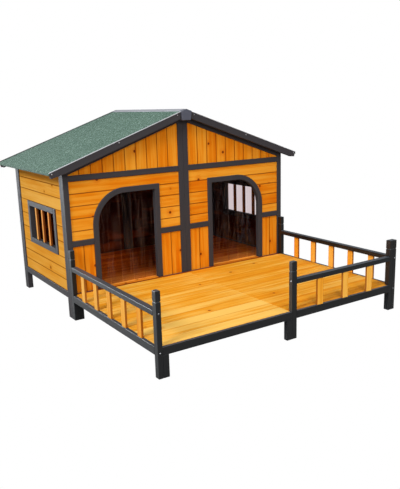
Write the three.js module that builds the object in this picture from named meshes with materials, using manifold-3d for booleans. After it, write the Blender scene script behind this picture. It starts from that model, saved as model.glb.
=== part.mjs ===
// A wooden dog house with a raised porch, in millimetres with +Z up.
// The origin is under the middle of the whole part, on the ground. The porch faces -Y.
import * as THREE from 'three';
import { mergeVertices } from 'three/addons/utils/BufferGeometryUtils.js';
import Module from 'manifold-3d';

const wasm = await Module();
wasm.setup();

// ---------------------------------------------------------------- driving dimensions

// Whole part.
const houseWidth = 1348;          // over the side walls and over the porch
const houseDepth = 725;           // front wall face to rear wall face
const porchDepth = 855;           // porch front to the front wall
const ridgeHeight = 1000;         // ground to the top of the ridge cap
const roofPitchDeg = 19.46;
const eaveOverhang = 76;          // roof edge beyond each side wall
const jointGap = 0.3;             // clearance on sloped and rounded joints

// Wall frames.
const wallThickness = 28;         // depth of every frame member
const cornerPostWidth = 28;
const centreStileWidth = 30;      // each of the two stiles that meet on the centre line
const sideStileWidth = 22;
const floorHeight = 127;          // top of the porch boards and of the house floor
const bottomRailHeight = 27;
const baseBeamBottom = 100;
const baseBeamHeight = 32;
const midRailTop = 389;
const midRailHeight = 28;
const tieRailHeight = 28;
const gableBoardFoot = 4.2;       // height of the shortest gable edge, beside the corner post
const rakeRailHeight = 40;        // square to the slope
const wallPlateHeight = 28;

// Wall boards.
const boardThickness = 12;
const boardRecess = 6;            // board face behind the frame face
const grooveWidth = 1.2;          // shadow line between two boards
const grooveDepth = 3;
const cutterReach = 1;            // how far a cutter passes through the face that it opens
const frontPlankPitch = 61;
const gableBoardPitch = 62;
const rearPlankPitch = 61;
const lowerBoardCount = 2;        // upright boards in each panel under the mid rail
const sideCourseCount = 3;        // courses under, beside and over the window

// Doorways, each with one rounded top corner on its outer side.
const doorInnerEdge = 151;        // frame edge nearest the centre line
const doorWidth = 381;
const doorFrameWidth = 28;
const doorHeadroom = 52.5;        // door frame's top to the tie rail
const archRadius = 180;           // outer radius of the rounded corner
const archSteps = 10;

// Strip curtains.
const stripCount = 5;
const stripPitch = 67;
const stripGap = 1.5;
const stripThickness = 1.5;
const stripFloorGap = 5;
const stripTopGap = 0.3;          // round top edge to the batten
const stripTopSides = 6;
const curtainLap = 5;             // first strip starts this far behind the door frame
const curtainBattenHeight = 30;
const curtainBattenThickness = 12;
const curtainBattenLift = 4.5;    // batten underside above the door head's underside

// Side windows.
const windowSetback = 141;        // front wall face to the window frame
const windowLength = 417;
const windowSill = 301;
const windowHeight = 233;
const windowFrameWidth = 28;
const windowBarCount = 3;
const windowBarWidth = 20;
const windowBarThickness = 12;
const windowBarRecess = 4;

// Roof.
const roofBoardThickness = 11.5;
const feltThickness = 2;
const ridgeCapThickness = 1.5;
const ridgeCapReach = 30;
const ridgeBeamDrop = 58;         // ridge to the beam's underside
const bargeThickness = 18;
const bargeHeight = 36;           // measured upright
const frontBattenDepth = 22;
const rearBattenDepth = 24;
const roofBattenHeight = 18;
const battenEaveSetback = 14;
const purlinWidth = 28;
const purlinCentre = 323;         // from the centre line
const endBlockProud = 8;
const endBlockBottomHalf = 25;
const endBlockTopHalf = 32;

// Porch platform.
const rimHeight = 34;
const rimThickness = 15;
const ledgerWidth = 13;
const deckBoardThickness = 12;
const deckBoardCount = 12;
const seamGap = 1;
const joistWidth = 22;
const legWidth = 27;
const centreLegWidth = 28;

// Porch railing.
const railPostWidth = 22;
const railPostDepth = 28;
const railPostHeight = 352;
const middlePostWidth = 28;
const middlePostDepth = 22;
const topRailBottom = 250;
const topRailHeight = 22;
const topRailDepth = 28;
const balusterWidth = 36;
const balusterThickness = 10;
const balusterInset = 2;          // behind the outer face of the rim
const filletWidth = 6;            // strip that joins the slats, let into the top rail
const filletHeight = 6;
const sideBalusterCount = 5;
const frontBalusterCount = 3;

// House floor.
const floorBoardThickness = 12;
const floorBoardCount = 10;
const floorJoistWidth = 28;
const floorJoistCount = 3;

// ---------------------------------------------------------------- derived places

const halfWidth = houseWidth / 2;
const roofHalf = halfWidth + eaveOverhang;
const slope = Math.tan(THREE.MathUtils.degToRad(roofPitchDeg));
const slopeCos = Math.cos(THREE.MathUtils.degToRad(roofPitchDeg));
const roofRear = bargeThickness + rearBattenDepth + endBlockProud;
const totalDepth = porchDepth + houseDepth + roofRear;

const porchFront = -totalDepth / 2;
const wallFront = porchFront + porchDepth;
const wallFrontBack = wallFront + wallThickness;
const wallRear = wallFront + houseDepth;
const wallRearFront = wallRear - wallThickness;
const sideFront = wallFrontBack + sideStileWidth;
const sideRear = wallRearFront - sideStileWidth;
const innerFace = halfWidth - wallThickness;
const postInner = halfWidth - cornerPostWidth;

const capStack = ridgeCapThickness / slopeCos + jointGap;
const roofTop = (x) => ridgeHeight - capStack - slope * Math.abs(x);
const feltUnder = (x) => roofTop(x) - feltThickness / slopeCos;
const roofUnder = (x) => feltUnder(x) - jointGap - roofBoardThickness / slopeCos;
const rakeTop = (x) => roofUnder(x) - jointGap;
const rakeUnder = (x) => rakeTop(x) - rakeRailHeight / slopeCos;
const boardTop = (x) => rakeUnder(x) - jointGap;
const wallPlateTop = roofUnder(halfWidth) - jointGap;
const ridgeBeamBottom = ridgeHeight - ridgeBeamDrop;
const tieRailTop = boardTop(postInner) - gableBoardFoot;
const tieRailBottom = tieRailTop - tieRailHeight;
const midRailBottom = midRailTop - midRailHeight;

const doorTop = tieRailBottom - doorHeadroom;
const doorHeadBottom = doorTop - doorFrameWidth;
const doorOuterEdge = doorInnerEdge + doorWidth;
const archCentreX = doorOuterEdge - archRadius;
const archCentreZ = doorTop - archRadius;

const bargeFront = wallFront - frontBattenDepth - bargeThickness;
const bargeBackFront = wallFront - frontBattenDepth;
const bargeRearFront = wallRear + rearBattenDepth;
const bargeRear = bargeRearFront + bargeThickness;

const rimBottom = floorHeight - rimHeight;
const joistTop = floorHeight - deckBoardThickness;
const rearPostFront = wallFront - railPostDepth;

// ---------------------------------------------------------------- finishes

const finish = (color, roughness, metalness = 0, extra = {}) => ({ color, roughness, metalness, ...extra });
const stainedWood = finish(0xe0993f, 0.6);
const deckWood = finish(0xe8ab4f, 0.62);
const bareWood = finish(0xd9a35c, 0.7);
const charcoalPaint = finish(0x3c4046, 0.55);
const greenFelt = finish(0x67836f, 0.95);
const greyMetal = finish(0xaab0b6, 0.4, 0.8);
const clearVinyl = finish(0xd5dcdc, 0.12, 0, { transparent: true, opacity: 0.3 });

// ---------------------------------------------------------------- geometry helpers

// Keeps the positions alone, unindexed, so that any two solids can share one node.
function bare(geometry) {
  const flat = geometry.index ? geometry.toNonIndexed() : geometry;
  const result = new THREE.BufferGeometry();
  result.setAttribute('position', flat.getAttribute('position'));
  return result;
}

// Moves every vertex of a solid to the place that `place` gives it, so that two solids that share
// a limit share it exactly.
function placed(geometry, place) {
  const position = geometry.getAttribute('position');
  for (let index = 0; index < position.count; index += 1) {
    position.setXYZ(index, ...place(position.getX(index), position.getY(index), position.getZ(index)));
  }
  return bare(geometry);
}

// A box between two limits on each axis, given in any order.
function box(xLimits, yLimits, zLimits) {
  const limit = (limits, value) => (value < 0 ? Math.min(...limits) : Math.max(...limits));
  return placed(new THREE.BoxGeometry(1, 1, 1),
    (x, y, z) => [limit(xLimits, x), limit(yLimits, y), limit(zLimits, z)]);
}

// A flat outline of unit depth.
function plate(points) {
  const shape = new THREE.Shape(points.map(([u, v]) => new THREE.Vector2(u, v)));
  return new THREE.ExtrudeGeometry(shape, { depth: 1, bevelEnabled: false });
}

// An outline in the XZ plane, carried along Y. Points are [x, z] pairs.
function prismAlongY(points, [ya, yb]) {
  return placed(plate(points), (u, v, w) => [u, w > 0 ? Math.min(ya, yb) : Math.max(ya, yb), v]);
}

// An outline in the XY plane, carried up Z. Points are [x, y] pairs.
function prismAlongZ(points, [za, zb]) {
  return placed(plate(points), (u, v, w) => [u, v, w > 0 ? Math.max(za, zb) : Math.min(za, zb)]);
}

// An outline in the YZ plane, carried along X. Points are [y, z] pairs.
function prismAlongX(points, [xa, xb]) {
  return placed(plate(points), (u, v, w) => [w > 0 ? Math.max(xa, xb) : Math.min(xa, xb), u, v]);
}

// The same outline on the left (-1) or the right (1) of the centre line.
const onSide = (side, points) => points.map(([x, z]) => [side * x, z]);

// A band that follows the roof slope between two distances from the centre line.
function slopeBand(side, [xa, xb], top, under, yRange) {
  const outline = [[xa, under(xa)], [xb, under(xb)], [xb, top(xb)], [xa, top(xa)]];
  return prismAlongY(onSide(side, outline), yRange);
}

function toManifold(geometry) {
  const welded = mergeVertices(geometry.clone(), 1e-4);
  const vertProperties = new Float32Array(welded.getAttribute('position').array);
  const triVerts = new Uint32Array(welded.index.array);
  return new wasm.Manifold(new wasm.Mesh({ numProp: 3, vertProperties, triVerts }));
}

function fromManifold(solid) {
  const mesh = solid.getMesh();
  const geometry = new THREE.BufferGeometry();
  geometry.setAttribute('position', new THREE.BufferAttribute(mesh.vertProperties, 3));
  geometry.setIndex(new THREE.BufferAttribute(mesh.triVerts, 1));
  return bare(geometry);
}

// One solid made of pieces that touch or overlap.
function joined(pieces) {
  const solids = pieces.map(toManifold);
  return fromManifold(solids.reduce((sum, solid) => sum.add(solid)));
}

// One solid with others taken out of it.
function cutFrom(blank, cutters) {
  const solids = cutters.map(toManifold);
  return fromManifold(solids.reduce((sum, cutter) => sum.subtract(cutter), toManifold(blank)));
}

const dogHouse = new THREE.Group();

// Adds one named node.
function addNode(name, geometry, { color, roughness, metalness, ...extra }) {
  geometry.computeVertexNormals();
  const material = new THREE.MeshStandardMaterial({ color, roughness, metalness, ...extra });
  const mesh = new THREE.Mesh(geometry, material);
  mesh.name = name;
  dogHouse.add(mesh);
}

// Places of the joints when a span is divided into equal boards.
function equalJoints([start, end], count) {
  return Array.from({ length: count - 1 }, (_, index) => start + (index + 1) * (end - start) / count);
}

// Places of the joints between boards of one pitch, laid from `start`; the last board is cut to fit.
function pitchedJoints([start, end], pitch) {
  const count = Math.round(Math.abs(end - start) / pitch);
  const step = Math.sign(end - start) * pitch;
  return Array.from({ length: count - 1 }, (_, index) => start + (index + 1) * step);
}

const around = (centre) => [centre - grooveWidth / 2, centre + grooveWidth / 2];
const xRange = (side, from, to) => [side * from, side * to];
const sides = [{ side: -1, name: 'left' }, { side: 1, name: 'right' }];
const bothSides = (build) => sides.flatMap(({ side }) => build(side));

const frontWallY = [wallFront, wallFrontBack];
const rearWallY = [wallRearFront, wallRear];
const frontBoardY = [wallFront + boardRecess, wallFront + boardRecess + boardThickness];
const rearBoardY = [wallRear - boardRecess - boardThickness, wallRear - boardRecess];
const frontGrooveY = [frontBoardY[0] - cutterReach, frontBoardY[0] + grooveDepth];
const rearGrooveY = [rearBoardY[1] - grooveDepth, rearBoardY[1] + cutterReach];
const floorGrooveZ = [floorHeight - grooveDepth, floorHeight + cutterReach];
const boardFace = halfWidth - boardRecess;
const houseInside = [wallFrontBack, wallRearFront];

// ---------------------------------------------------------------- front and rear walls

// A corner post with its foot on the ground and its top cut to the slope.
function cornerPost(side, yRange) {
  const outline = [
    [postInner, 0], [halfWidth, 0], [halfWidth, rakeTop(halfWidth)], [postInner, rakeTop(postInner)],
  ];
  return prismAlongY(onSide(side, outline), yRange);
}

// The members that the front and the rear wall share on one side of the centre line.
function wallMembers(side, yRange) {
  return [
    cornerPost(side, yRange),
    box(xRange(side, 0, postInner), yRange, [floorHeight - bottomRailHeight, floorHeight]),
    slopeBand(side, [centreStileWidth, halfWidth], rakeTop, rakeUnder, yRange),
  ];
}

function frontFrame(side) {
  const member = (xa, xb, za, zb) => box(xRange(side, xa, xb), frontWallY, [za, zb]);
  return joined([
    ...wallMembers(side, frontWallY),
    member(0, centreStileWidth, floorHeight, ridgeBeamBottom),
    member(centreStileWidth, postInner, tieRailBottom, tieRailTop),
    member(centreStileWidth, doorInnerEdge, midRailBottom, midRailTop),
    member(doorOuterEdge, postInner, midRailBottom, midRailTop),
  ]);
}

// The rear boards are laid over a shallow centre stile that shows from inside only.
function rearFrame() {
  const tieRail = box([-postInner, postInner], rearWallY, [tieRailBottom, tieRailTop]);
  const centreStile = box([-centreStileWidth, centreStileWidth], [wallRearFront, rearBoardY[0]],
    [floorHeight, ridgeBeamBottom]);
  return joined([...bothSides((side) => wallMembers(side, rearWallY)), tieRail, centreStile]);
}

// Where two upright gable boards meet, measured from the centre line.
const gableJoints = pitchedJoints([centreStileWidth, postInner], gableBoardPitch);
const gableGrooveZ = [tieRailTop - cutterReach, ridgeHeight];

// Upright boards of one half of the front gable, cut to the slope.
function frontGableBoards(side) {
  const outline = [
    [centreStileWidth, tieRailTop], [postInner, tieRailTop],
    [postInner, boardTop(postInner)], [centreStileWidth, boardTop(centreStileWidth)],
  ];
  const grooves = gableJoints.map((x) => box(around(side * x), frontGrooveY, gableGrooveZ));
  return cutFrom(prismAlongY(onSide(side, outline), frontBoardY), grooves);
}

// Upright boards of the whole rear gable, in one width across the centre line.
function rearGableBoards() {
  const slopeEdge = [[postInner, boardTop(postInner)], [centreStileWidth, boardTop(centreStileWidth)]];
  const outline = [
    [-postInner, tieRailTop], [postInner, tieRailTop], ...slopeEdge,
    [centreStileWidth, ridgeBeamBottom], [-centreStileWidth, ridgeBeamBottom],
    ...onSide(-1, slopeEdge).reverse(),
  ];
  const joints = [...gableJoints, centreStileWidth].flatMap((x) => [-x, x]);
  const grooves = joints.map((x) => box(around(x), rearGrooveY, gableGrooveZ));
  return cutFrom(prismAlongY(outline, rearBoardY), grooves);
}

// Points of the rounded door corner at a radius, from its side to its top.
function archPoints(radius) {
  return Array.from({ length: archSteps + 1 }, (_, index) => {
    const angle = index / archSteps * Math.PI / 2;
    return [archCentreX + radius * Math.cos(angle), archCentreZ + radius * Math.sin(angle)];
  });
}

// The doorway's outline, its edge moved in by `inset`.
function doorOutline(inset, bottom) {
  return [
    [doorInnerEdge + inset, bottom], [doorOuterEdge - inset, bottom],
    ...archPoints(archRadius - inset), [doorInnerEdge + inset, doorTop - inset],
  ];
}

// The horizontal planks of a front panel, cut round the door frame.
function frontPlanks(side) {
  const planks = box(xRange(side, centreStileWidth, postInner), frontBoardY, [midRailTop, tieRailBottom]);
  const door = prismAlongY(onSide(side, doorOutline(-jointGap, floorHeight)),
    [frontBoardY[0] - cutterReach, wallFrontBack]);
  const joints = pitchedJoints([tieRailBottom, midRailTop], frontPlankPitch);
  const grooves = joints.map((z) => box(xRange(side, 0, halfWidth), frontGrooveY, around(z)));
  return cutFrom(planks, [door, ...grooves]);
}

// Upright boards under the mid rail, between two uprights of the front.
function frontLowerBoards(side, span) {
  const boards = box(xRange(side, ...span), frontBoardY, [floorHeight, midRailBottom]);
  const grooves = equalJoints(span, lowerBoardCount).map((x) =>
    box(around(side * x), frontGrooveY, [floorHeight - cutterReach, midRailBottom + cutterReach]));
  return cutFrom(boards, grooves);
}

// Two stiles, a head and the rounded corner, open at the foot.
function doorFrame(side) {
  const outer = prismAlongY(onSide(side, doorOutline(0, floorHeight)), frontWallY);
  const opening = prismAlongY(onSide(side, doorOutline(doorFrameWidth, floorHeight - cutterReach)),
    [wallFront - cutterReach, wallFrontBack + cutterReach]);
  return cutFrom(outer, [opening]);
}

function rearPlanks() {
  const planks = box([-postInner, postInner], rearBoardY, [floorHeight, tieRailBottom]);
  const joints = pitchedJoints([tieRailBottom, floorHeight], rearPlankPitch);
  return cutFrom(planks, joints.map((z) => box([-halfWidth, halfWidth], rearGrooveY, around(z))));
}

// ---------------------------------------------------------------- side walls

const windowY = [wallFront + windowSetback, wallFront + windowSetback + windowLength];
const windowZ = [windowSill, windowSill + windowHeight];
const windowClearY = [windowY[0] + windowFrameWidth, windowY[1] - windowFrameWidth];
const windowClearZ = [windowZ[0] + windowFrameWidth, windowZ[1] - windowFrameWidth];

// Stiles, base beam and wall plate. The stiles reach the ground.
function sideWallFrame(side) {
  const member = (yRange, za, zb) => box(xRange(side, innerFace, halfWidth), yRange, [za, zb]);
  return joined([
    member([wallFrontBack, sideFront], 0, wallPlateTop),
    member([sideRear, wallRearFront], 0, wallPlateTop),
    member([sideFront, sideRear], baseBeamBottom, baseBeamBottom + baseBeamHeight),
    member([sideFront, sideRear], wallPlateTop - wallPlateHeight, wallPlateTop),
  ]);
}

// Horizontal boards in three bands: under, beside and over the window.
function sideWallBoards(side) {
  const bands = [
    [baseBeamBottom + baseBeamHeight, windowZ[0]], windowZ, [windowZ[1], wallPlateTop - wallPlateHeight],
  ];
  const blank = box(xRange(side, boardFace - boardThickness, boardFace), [sideFront, sideRear],
    [bands[0][0], bands[2][1]]);
  const hole = box(xRange(side, boardFace - boardThickness - cutterReach, boardFace + cutterReach),
    windowY, windowZ);
  const joints = [...bands.flatMap((band) => equalJoints(band, sideCourseCount)), ...windowZ];
  const grooves = joints.map((z) => box(xRange(side, boardFace - grooveDepth, boardFace + cutterReach),
    [sideFront - cutterReach, sideRear + cutterReach], around(z)));
  return cutFrom(blank, [hole, ...grooves]);
}

function windowFrame(side) {
  const outer = box(xRange(side, innerFace, halfWidth), windowY, windowZ);
  const opening = box(xRange(side, innerFace - cutterReach, halfWidth + cutterReach),
    windowClearY, windowClearZ);
  return cutFrom(outer, [opening]);
}

// Starts of equal slats spread over a span with equal gaps.
function slatStarts([start, end], count, width) {
  const gap = (end - start - count * width) / (count + 1);
  return Array.from({ length: count }, (_, index) => start + gap + index * (gap + width));
}

function windowBar(side, start) {
  const outer = halfWidth - windowBarRecess;
  return box(xRange(side, outer - windowBarThickness, outer), [start, start + windowBarWidth], windowClearZ);
}

// ---------------------------------------------------------------- curtains

const curtainStart = doorInnerEdge + doorFrameWidth - curtainLap;
const curtainEnd = curtainStart + stripCount * stripPitch;
const curtainBattenBottom = doorHeadBottom + curtainBattenLift;
const stripHalf = stripThickness / 2;
const stripHingeY = wallFrontBack + curtainBattenThickness / 2;
const stripHingeZ = curtainBattenBottom - stripTopGap - stripHalf;

function curtainBatten(side) {
  return box(xRange(side, curtainStart, curtainEnd),
    [wallFrontBack, wallFrontBack + curtainBattenThickness],
    [curtainBattenBottom, curtainBattenBottom + curtainBattenHeight]);
}

// A flat strip whose top edge is round about the line that it swings on.
function curtainStrip(side, index) {
  const start = curtainStart + index * stripPitch + stripGap / 2;
  const foot = floorHeight + stripFloorGap;
  const topEdge = Array.from({ length: stripTopSides + 1 }, (_, step) => {
    const angle = Math.PI * step / stripTopSides;
    return [stripHingeY + stripHalf * Math.cos(angle), stripHingeZ + stripHalf * Math.sin(angle)];
  });
  const outline = [[stripHingeY - stripHalf, foot], [stripHingeY + stripHalf, foot], ...topEdge];
  return prismAlongX(outline, xRange(side, start, start + stripPitch - stripGap));
}

// ---------------------------------------------------------------- house floor

function floorPanel() {
  const underside = floorHeight - floorBoardThickness;
  const boards = box([-innerFace, innerFace], houseInside, [underside, floorHeight]);
  const reach = innerFace - floorJoistWidth / 2;
  const joists = Array.from({ length: floorJoistCount }, (_, index) => {
    const centre = -reach + index * 2 * reach / (floorJoistCount - 1);
    return box([centre - floorJoistWidth / 2, centre + floorJoistWidth / 2], houseInside,
      [floorHeight - bottomRailHeight, underside]);
  });
  const grooves = equalJoints(houseInside, floorBoardCount).map((y) =>
    box([-halfWidth, halfWidth], around(y), floorGrooveZ));
  return cutFrom(joined([boards, ...joists]), grooves);
}

// ---------------------------------------------------------------- roof

const roofY = [bargeBackFront, bargeRearFront];
const bargeReach = [endBlockTopHalf + jointGap, roofHalf];

// Roof boarding with a batten outside each gable and a purlin between the walls.
function roofPanel(side) {
  const boardUpper = (x) => feltUnder(x) - jointGap;
  const under = (x) => roofUnder(x) - roofBattenHeight / slopeCos;
  const reach = [centreStileWidth + jointGap, roofHalf - battenEaveSetback];
  const purlin = [purlinCentre - purlinWidth / 2, purlinCentre + purlinWidth / 2];
  return joined([
    slopeBand(side, [jointGap / 2, roofHalf], boardUpper, roofUnder, roofY),
    slopeBand(side, reach, boardUpper, under, [bargeBackFront, wallFront]),
    slopeBand(side, reach, boardUpper, under, [wallRear, bargeRearFront]),
    slopeBand(side, purlin, boardUpper, under, houseInside),
  ]);
}

// Felt over the boarding and over the top edges of the bargeboards.
function roofFelt(side) {
  return joined([
    slopeBand(side, [jointGap / 2, roofHalf], roofTop, feltUnder, roofY),
    slopeBand(side, bargeReach, roofTop, feltUnder, [bargeFront, bargeRear]),
  ]);
}

function bargeboard(side, yRange) {
  const top = (x) => feltUnder(x) - jointGap;
  return slopeBand(side, bargeReach, top, (x) => top(x) - bargeHeight, yRange);
}

// The five-sided block that closes the ridge between two bargeboards.
function endBlock(yRange) {
  const shoulder = ridgeHeight - slope * endBlockTopHalf;
  const outline = [
    [-endBlockBottomHalf, ridgeBeamBottom], [endBlockBottomHalf, ridgeBeamBottom],
    [endBlockTopHalf, shoulder], [0, ridgeHeight], [-endBlockTopHalf, shoulder],
  ];
  return prismAlongY(outline, yRange);
}

// The ridge beam, its top cut to both slopes, with a block on each end.
function ridgeBeam() {
  const half = centreStileWidth;
  const outline = [
    [-half, ridgeBeamBottom], [half, ridgeBeamBottom],
    [half, rakeTop(half)], [0, rakeTop(0)], [-half, rakeTop(half)],
  ];
  return joined([
    prismAlongY(outline, roofY),
    endBlock([bargeFront - endBlockProud, bargeBackFront]),
    endBlock([bargeRearFront, bargeRear + endBlockProud]),
  ]);
}

function ridgeCap() {
  const capTop = (x) => ridgeHeight - slope * Math.abs(x);
  const capUnder = (x) => capTop(x) - ridgeCapThickness / slopeCos;
  const outline = [
    [-ridgeCapReach, capUnder(ridgeCapReach)], [0, capUnder(0)],
    [ridgeCapReach, capUnder(ridgeCapReach)], [ridgeCapReach, capTop(ridgeCapReach)],
    [0, capTop(0)], [-ridgeCapReach, capTop(ridgeCapReach)],
  ];
  return prismAlongY(outline, roofY);
}

// ---------------------------------------------------------------- porch platform

const sideRailY = [porchFront + railPostDepth, rearPostFront];
const frontRimY = [porchFront, porchFront + rimThickness];
const rearRimY = [wallFront - rimThickness, wallFront];
const postEdge = halfWidth - railPostWidth;
const rightPostsEdge = halfWidth - 2 * railPostWidth;
const deckEdge = halfWidth - rimThickness;

// Rims, ledger, joists and feet of one platform half.
function deckFrame(side) {
  const beam = (xa, xb, yRange, zTop) => box(xRange(side, xa, xb), yRange, [rimBottom, zTop]);
  const foot = (xa, xb, yRange) => box(xRange(side, xa, xb), yRange, [0, joistTop]);
  const isLeft = side < 0;
  const middle = halfWidth / 2;
  const betweenRims = [frontRimY[1], rearRimY[0]];
  const seamJoistY = [isLeft ? frontRimY[1] : porchFront + middlePostDepth, rearRimY[0]];
  const rearLegY = [rearPostFront, wallFront];
  const frontFeet = [
    foot(postEdge - legWidth, postEdge, [porchFront, porchFront + railPostDepth]),
    foot(0, middlePostWidth, [porchFront, porchFront + middlePostDepth]),
  ];
  return joined([
    beam(isLeft ? 0 : middlePostWidth, isLeft ? postEdge : rightPostsEdge, frontRimY, floorHeight),
    beam(0, postEdge, rearRimY, floorHeight),
    beam(deckEdge, halfWidth, sideRailY, floorHeight),
    beam(deckEdge - ledgerWidth, deckEdge, sideRailY, joistTop),
    beam(0, deckEdge - ledgerWidth, [sideRailY[0], sideRailY[0] + joistWidth], joistTop),
    beam(0, deckEdge - ledgerWidth, [sideRailY[1] - joistWidth, sideRailY[1]], joistTop),
    beam(0, joistWidth, seamJoistY, joistTop),
    beam(middle - joistWidth / 2, middle + joistWidth / 2, betweenRims, joistTop),
    foot(postEdge - legWidth, postEdge, rearLegY),
    foot(0, centreLegWidth, rearLegY),
    ...(isLeft ? frontFeet : []),
  ]);
}

// Boards of one platform half, notched round the posts.
function deckBoards(side) {
  const inner = seamGap / 2;
  const [front, rear] = [frontRimY[1], rearRimY[0]];
  const cornerEdge = side < 0 ? postEdge : rightPostsEdge;
  const middleNotch = side < 0 ? [[inner, front]] : [
    [inner, porchFront + middlePostDepth], [middlePostWidth, porchFront + middlePostDepth],
    [middlePostWidth, front],
  ];
  const outline = [
    ...middleNotch,
    [cornerEdge, front], [cornerEdge, sideRailY[0]], [deckEdge, sideRailY[0]],
    [deckEdge, sideRailY[1]], [postEdge, sideRailY[1]], [postEdge, rear], [inner, rear],
  ];
  const blank = prismAlongZ(onSide(side, outline), [joistTop, floorHeight]);
  const grooves = equalJoints([front, rear], deckBoardCount).map((y) =>
    box(xRange(side, 0, halfWidth), around(y), floorGrooveZ));
  return cutFrom(blank, grooves);
}

// ---------------------------------------------------------------- porch railings

const railZ = [topRailBottom, topRailBottom + topRailHeight];
const filletZ = [topRailBottom, topRailBottom + filletHeight];
const railGrooveZ = [topRailBottom - cutterReach, topRailBottom + filletHeight];
const slatMiddle = balusterInset + balusterThickness / 2;
const frontRailX = [middlePostWidth, rightPostsEdge];
const filletX = (side) =>
  xRange(side, halfWidth - slatMiddle - filletWidth / 2, halfWidth - slatMiddle + filletWidth / 2);
const frontFilletY = [
  porchFront + slatMiddle - filletWidth / 2, porchFront + slatMiddle + filletWidth / 2,
];

// Front post, rear post and top rail. The rail's underside is grooved for the slats.
function sideRailing(side) {
  const post = (yRange) => box(xRange(side, postEdge, halfWidth), yRange, [0, railPostHeight]);
  const groove = box(filletX(side), sideRailY, railGrooveZ);
  const railing = joined([
    post([porchFront, porchFront + railPostDepth]),
    post([rearPostFront, wallFront]),
    box(xRange(side, halfWidth - topRailDepth, halfWidth), sideRailY, railZ),
  ]);
  return cutFrom(railing, [groove]);
}

// Middle post, right post and top rail of the closed half of the front.
function frontRailing() {
  const groove = box(frontRailX, frontFilletY, railGrooveZ);
  const railing = joined([
    box([0, middlePostWidth], [porchFront, porchFront + middlePostDepth], [0, railPostHeight]),
    box([rightPostsEdge, postEdge], [porchFront, porchFront + railPostDepth], [0, railPostHeight]),
    box(frontRailX, [porchFront, porchFront + topRailDepth], railZ),
  ]);
  return cutFrom(railing, [groove]);
}

// Slats of a side railing on the fillet strip that holds their tops.
function sideBalusters(side) {
  const depth = xRange(side, halfWidth - balusterInset - balusterThickness, halfWidth - balusterInset);
  const slats = slatStarts(sideRailY, sideBalusterCount, balusterWidth).map((start) =>
    box(depth, [start, start + balusterWidth], [floorHeight, topRailBottom]));
  return joined([...slats, box(filletX(side), sideRailY, filletZ)]);
}

function frontBalusters() {
  const depth = [porchFront + balusterInset, porchFront + balusterInset + balusterThickness];
  const slats = slatStarts(frontRailX, frontBalusterCount, balusterWidth).map((start) =>
    box([start, start + balusterWidth], depth, [floorHeight, topRailBottom]));
  return joined([...slats, box(frontRailX, frontFilletY, filletZ)]);
}

// ---------------------------------------------------------------- assembly

const innerSpan = [centreStileWidth, doorInnerEdge];
const outerSpan = [doorOuterEdge, postInner];

for (const { side, name } of sides) {
  addNode(`front_frame_${name}`, frontFrame(side), charcoalPaint);
  addNode(`front_planks_${name}`, frontPlanks(side), stainedWood);
  addNode(`front_gable_boards_${name}`, frontGableBoards(side), stainedWood);
  addNode(`front_lower_boards_${name}_inner`, frontLowerBoards(side, innerSpan), stainedWood);
  addNode(`front_lower_boards_${name}_outer`, frontLowerBoards(side, outerSpan), stainedWood);
  addNode(`door_frame_${name}`, doorFrame(side), charcoalPaint);
  addNode(`curtain_batten_${name}`, curtainBatten(side), charcoalPaint);
  for (let index = 0; index < stripCount; index += 1) {
    addNode(`curtain_strip_${name}_${index + 1}`, curtainStrip(side, index), clearVinyl);
  }
  addNode(`side_wall_frame_${name}`, sideWallFrame(side), charcoalPaint);
  addNode(`side_wall_boards_${name}`, sideWallBoards(side), stainedWood);
  addNode(`window_frame_${name}`, windowFrame(side), charcoalPaint);
  slatStarts(windowClearY, windowBarCount, windowBarWidth).forEach((start, index) =>
    addNode(`window_bar_${name}_${index + 1}`, windowBar(side, start), bareWood));
  addNode(`roof_panel_${name}`, roofPanel(side), bareWood);
  addNode(`roof_felt_${name}`, roofFelt(side), greenFelt);
  addNode(`bargeboard_front_${name}`, bargeboard(side, [bargeFront, bargeBackFront]), charcoalPaint);
  addNode(`bargeboard_rear_${name}`, bargeboard(side, [bargeRearFront, bargeRear]), charcoalPaint);
  addNode(`deck_frame_${name}`, deckFrame(side), charcoalPaint);
  addNode(`deck_boards_${name}`, deckBoards(side), deckWood);
  addNode(`railing_frame_${name}`, sideRailing(side), charcoalPaint);
  addNode(`balusters_${name}`, sideBalusters(side), deckWood);
}
addNode('rear_frame', rearFrame(), charcoalPaint);
addNode('rear_planks', rearPlanks(), stainedWood);
addNode('rear_gable_boards', rearGableBoards(), stainedWood);
addNode('floor_panel', floorPanel(), deckWood);
addNode('ridge_beam', ridgeBeam(), charcoalPaint);
addNode('ridge_cap', ridgeCap(), greyMetal);
addNode('railing_frame_front', frontRailing(), charcoalPaint);
addNode('balusters_front', frontBalusters(), deckWood);

export default dogHouse;
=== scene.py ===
"""A wooden dog house with a raised porch, dressed for rendering.

Every length is in metres. The origin is on the ground under the middle of the part, +Z is up and the
porch faces -Y.
"""

import logging
import math
from collections.abc import Callable
from dataclasses import dataclass
from enum import Enum

import bpy
import numpy as np
from mathutils import Matrix, Vector


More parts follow.
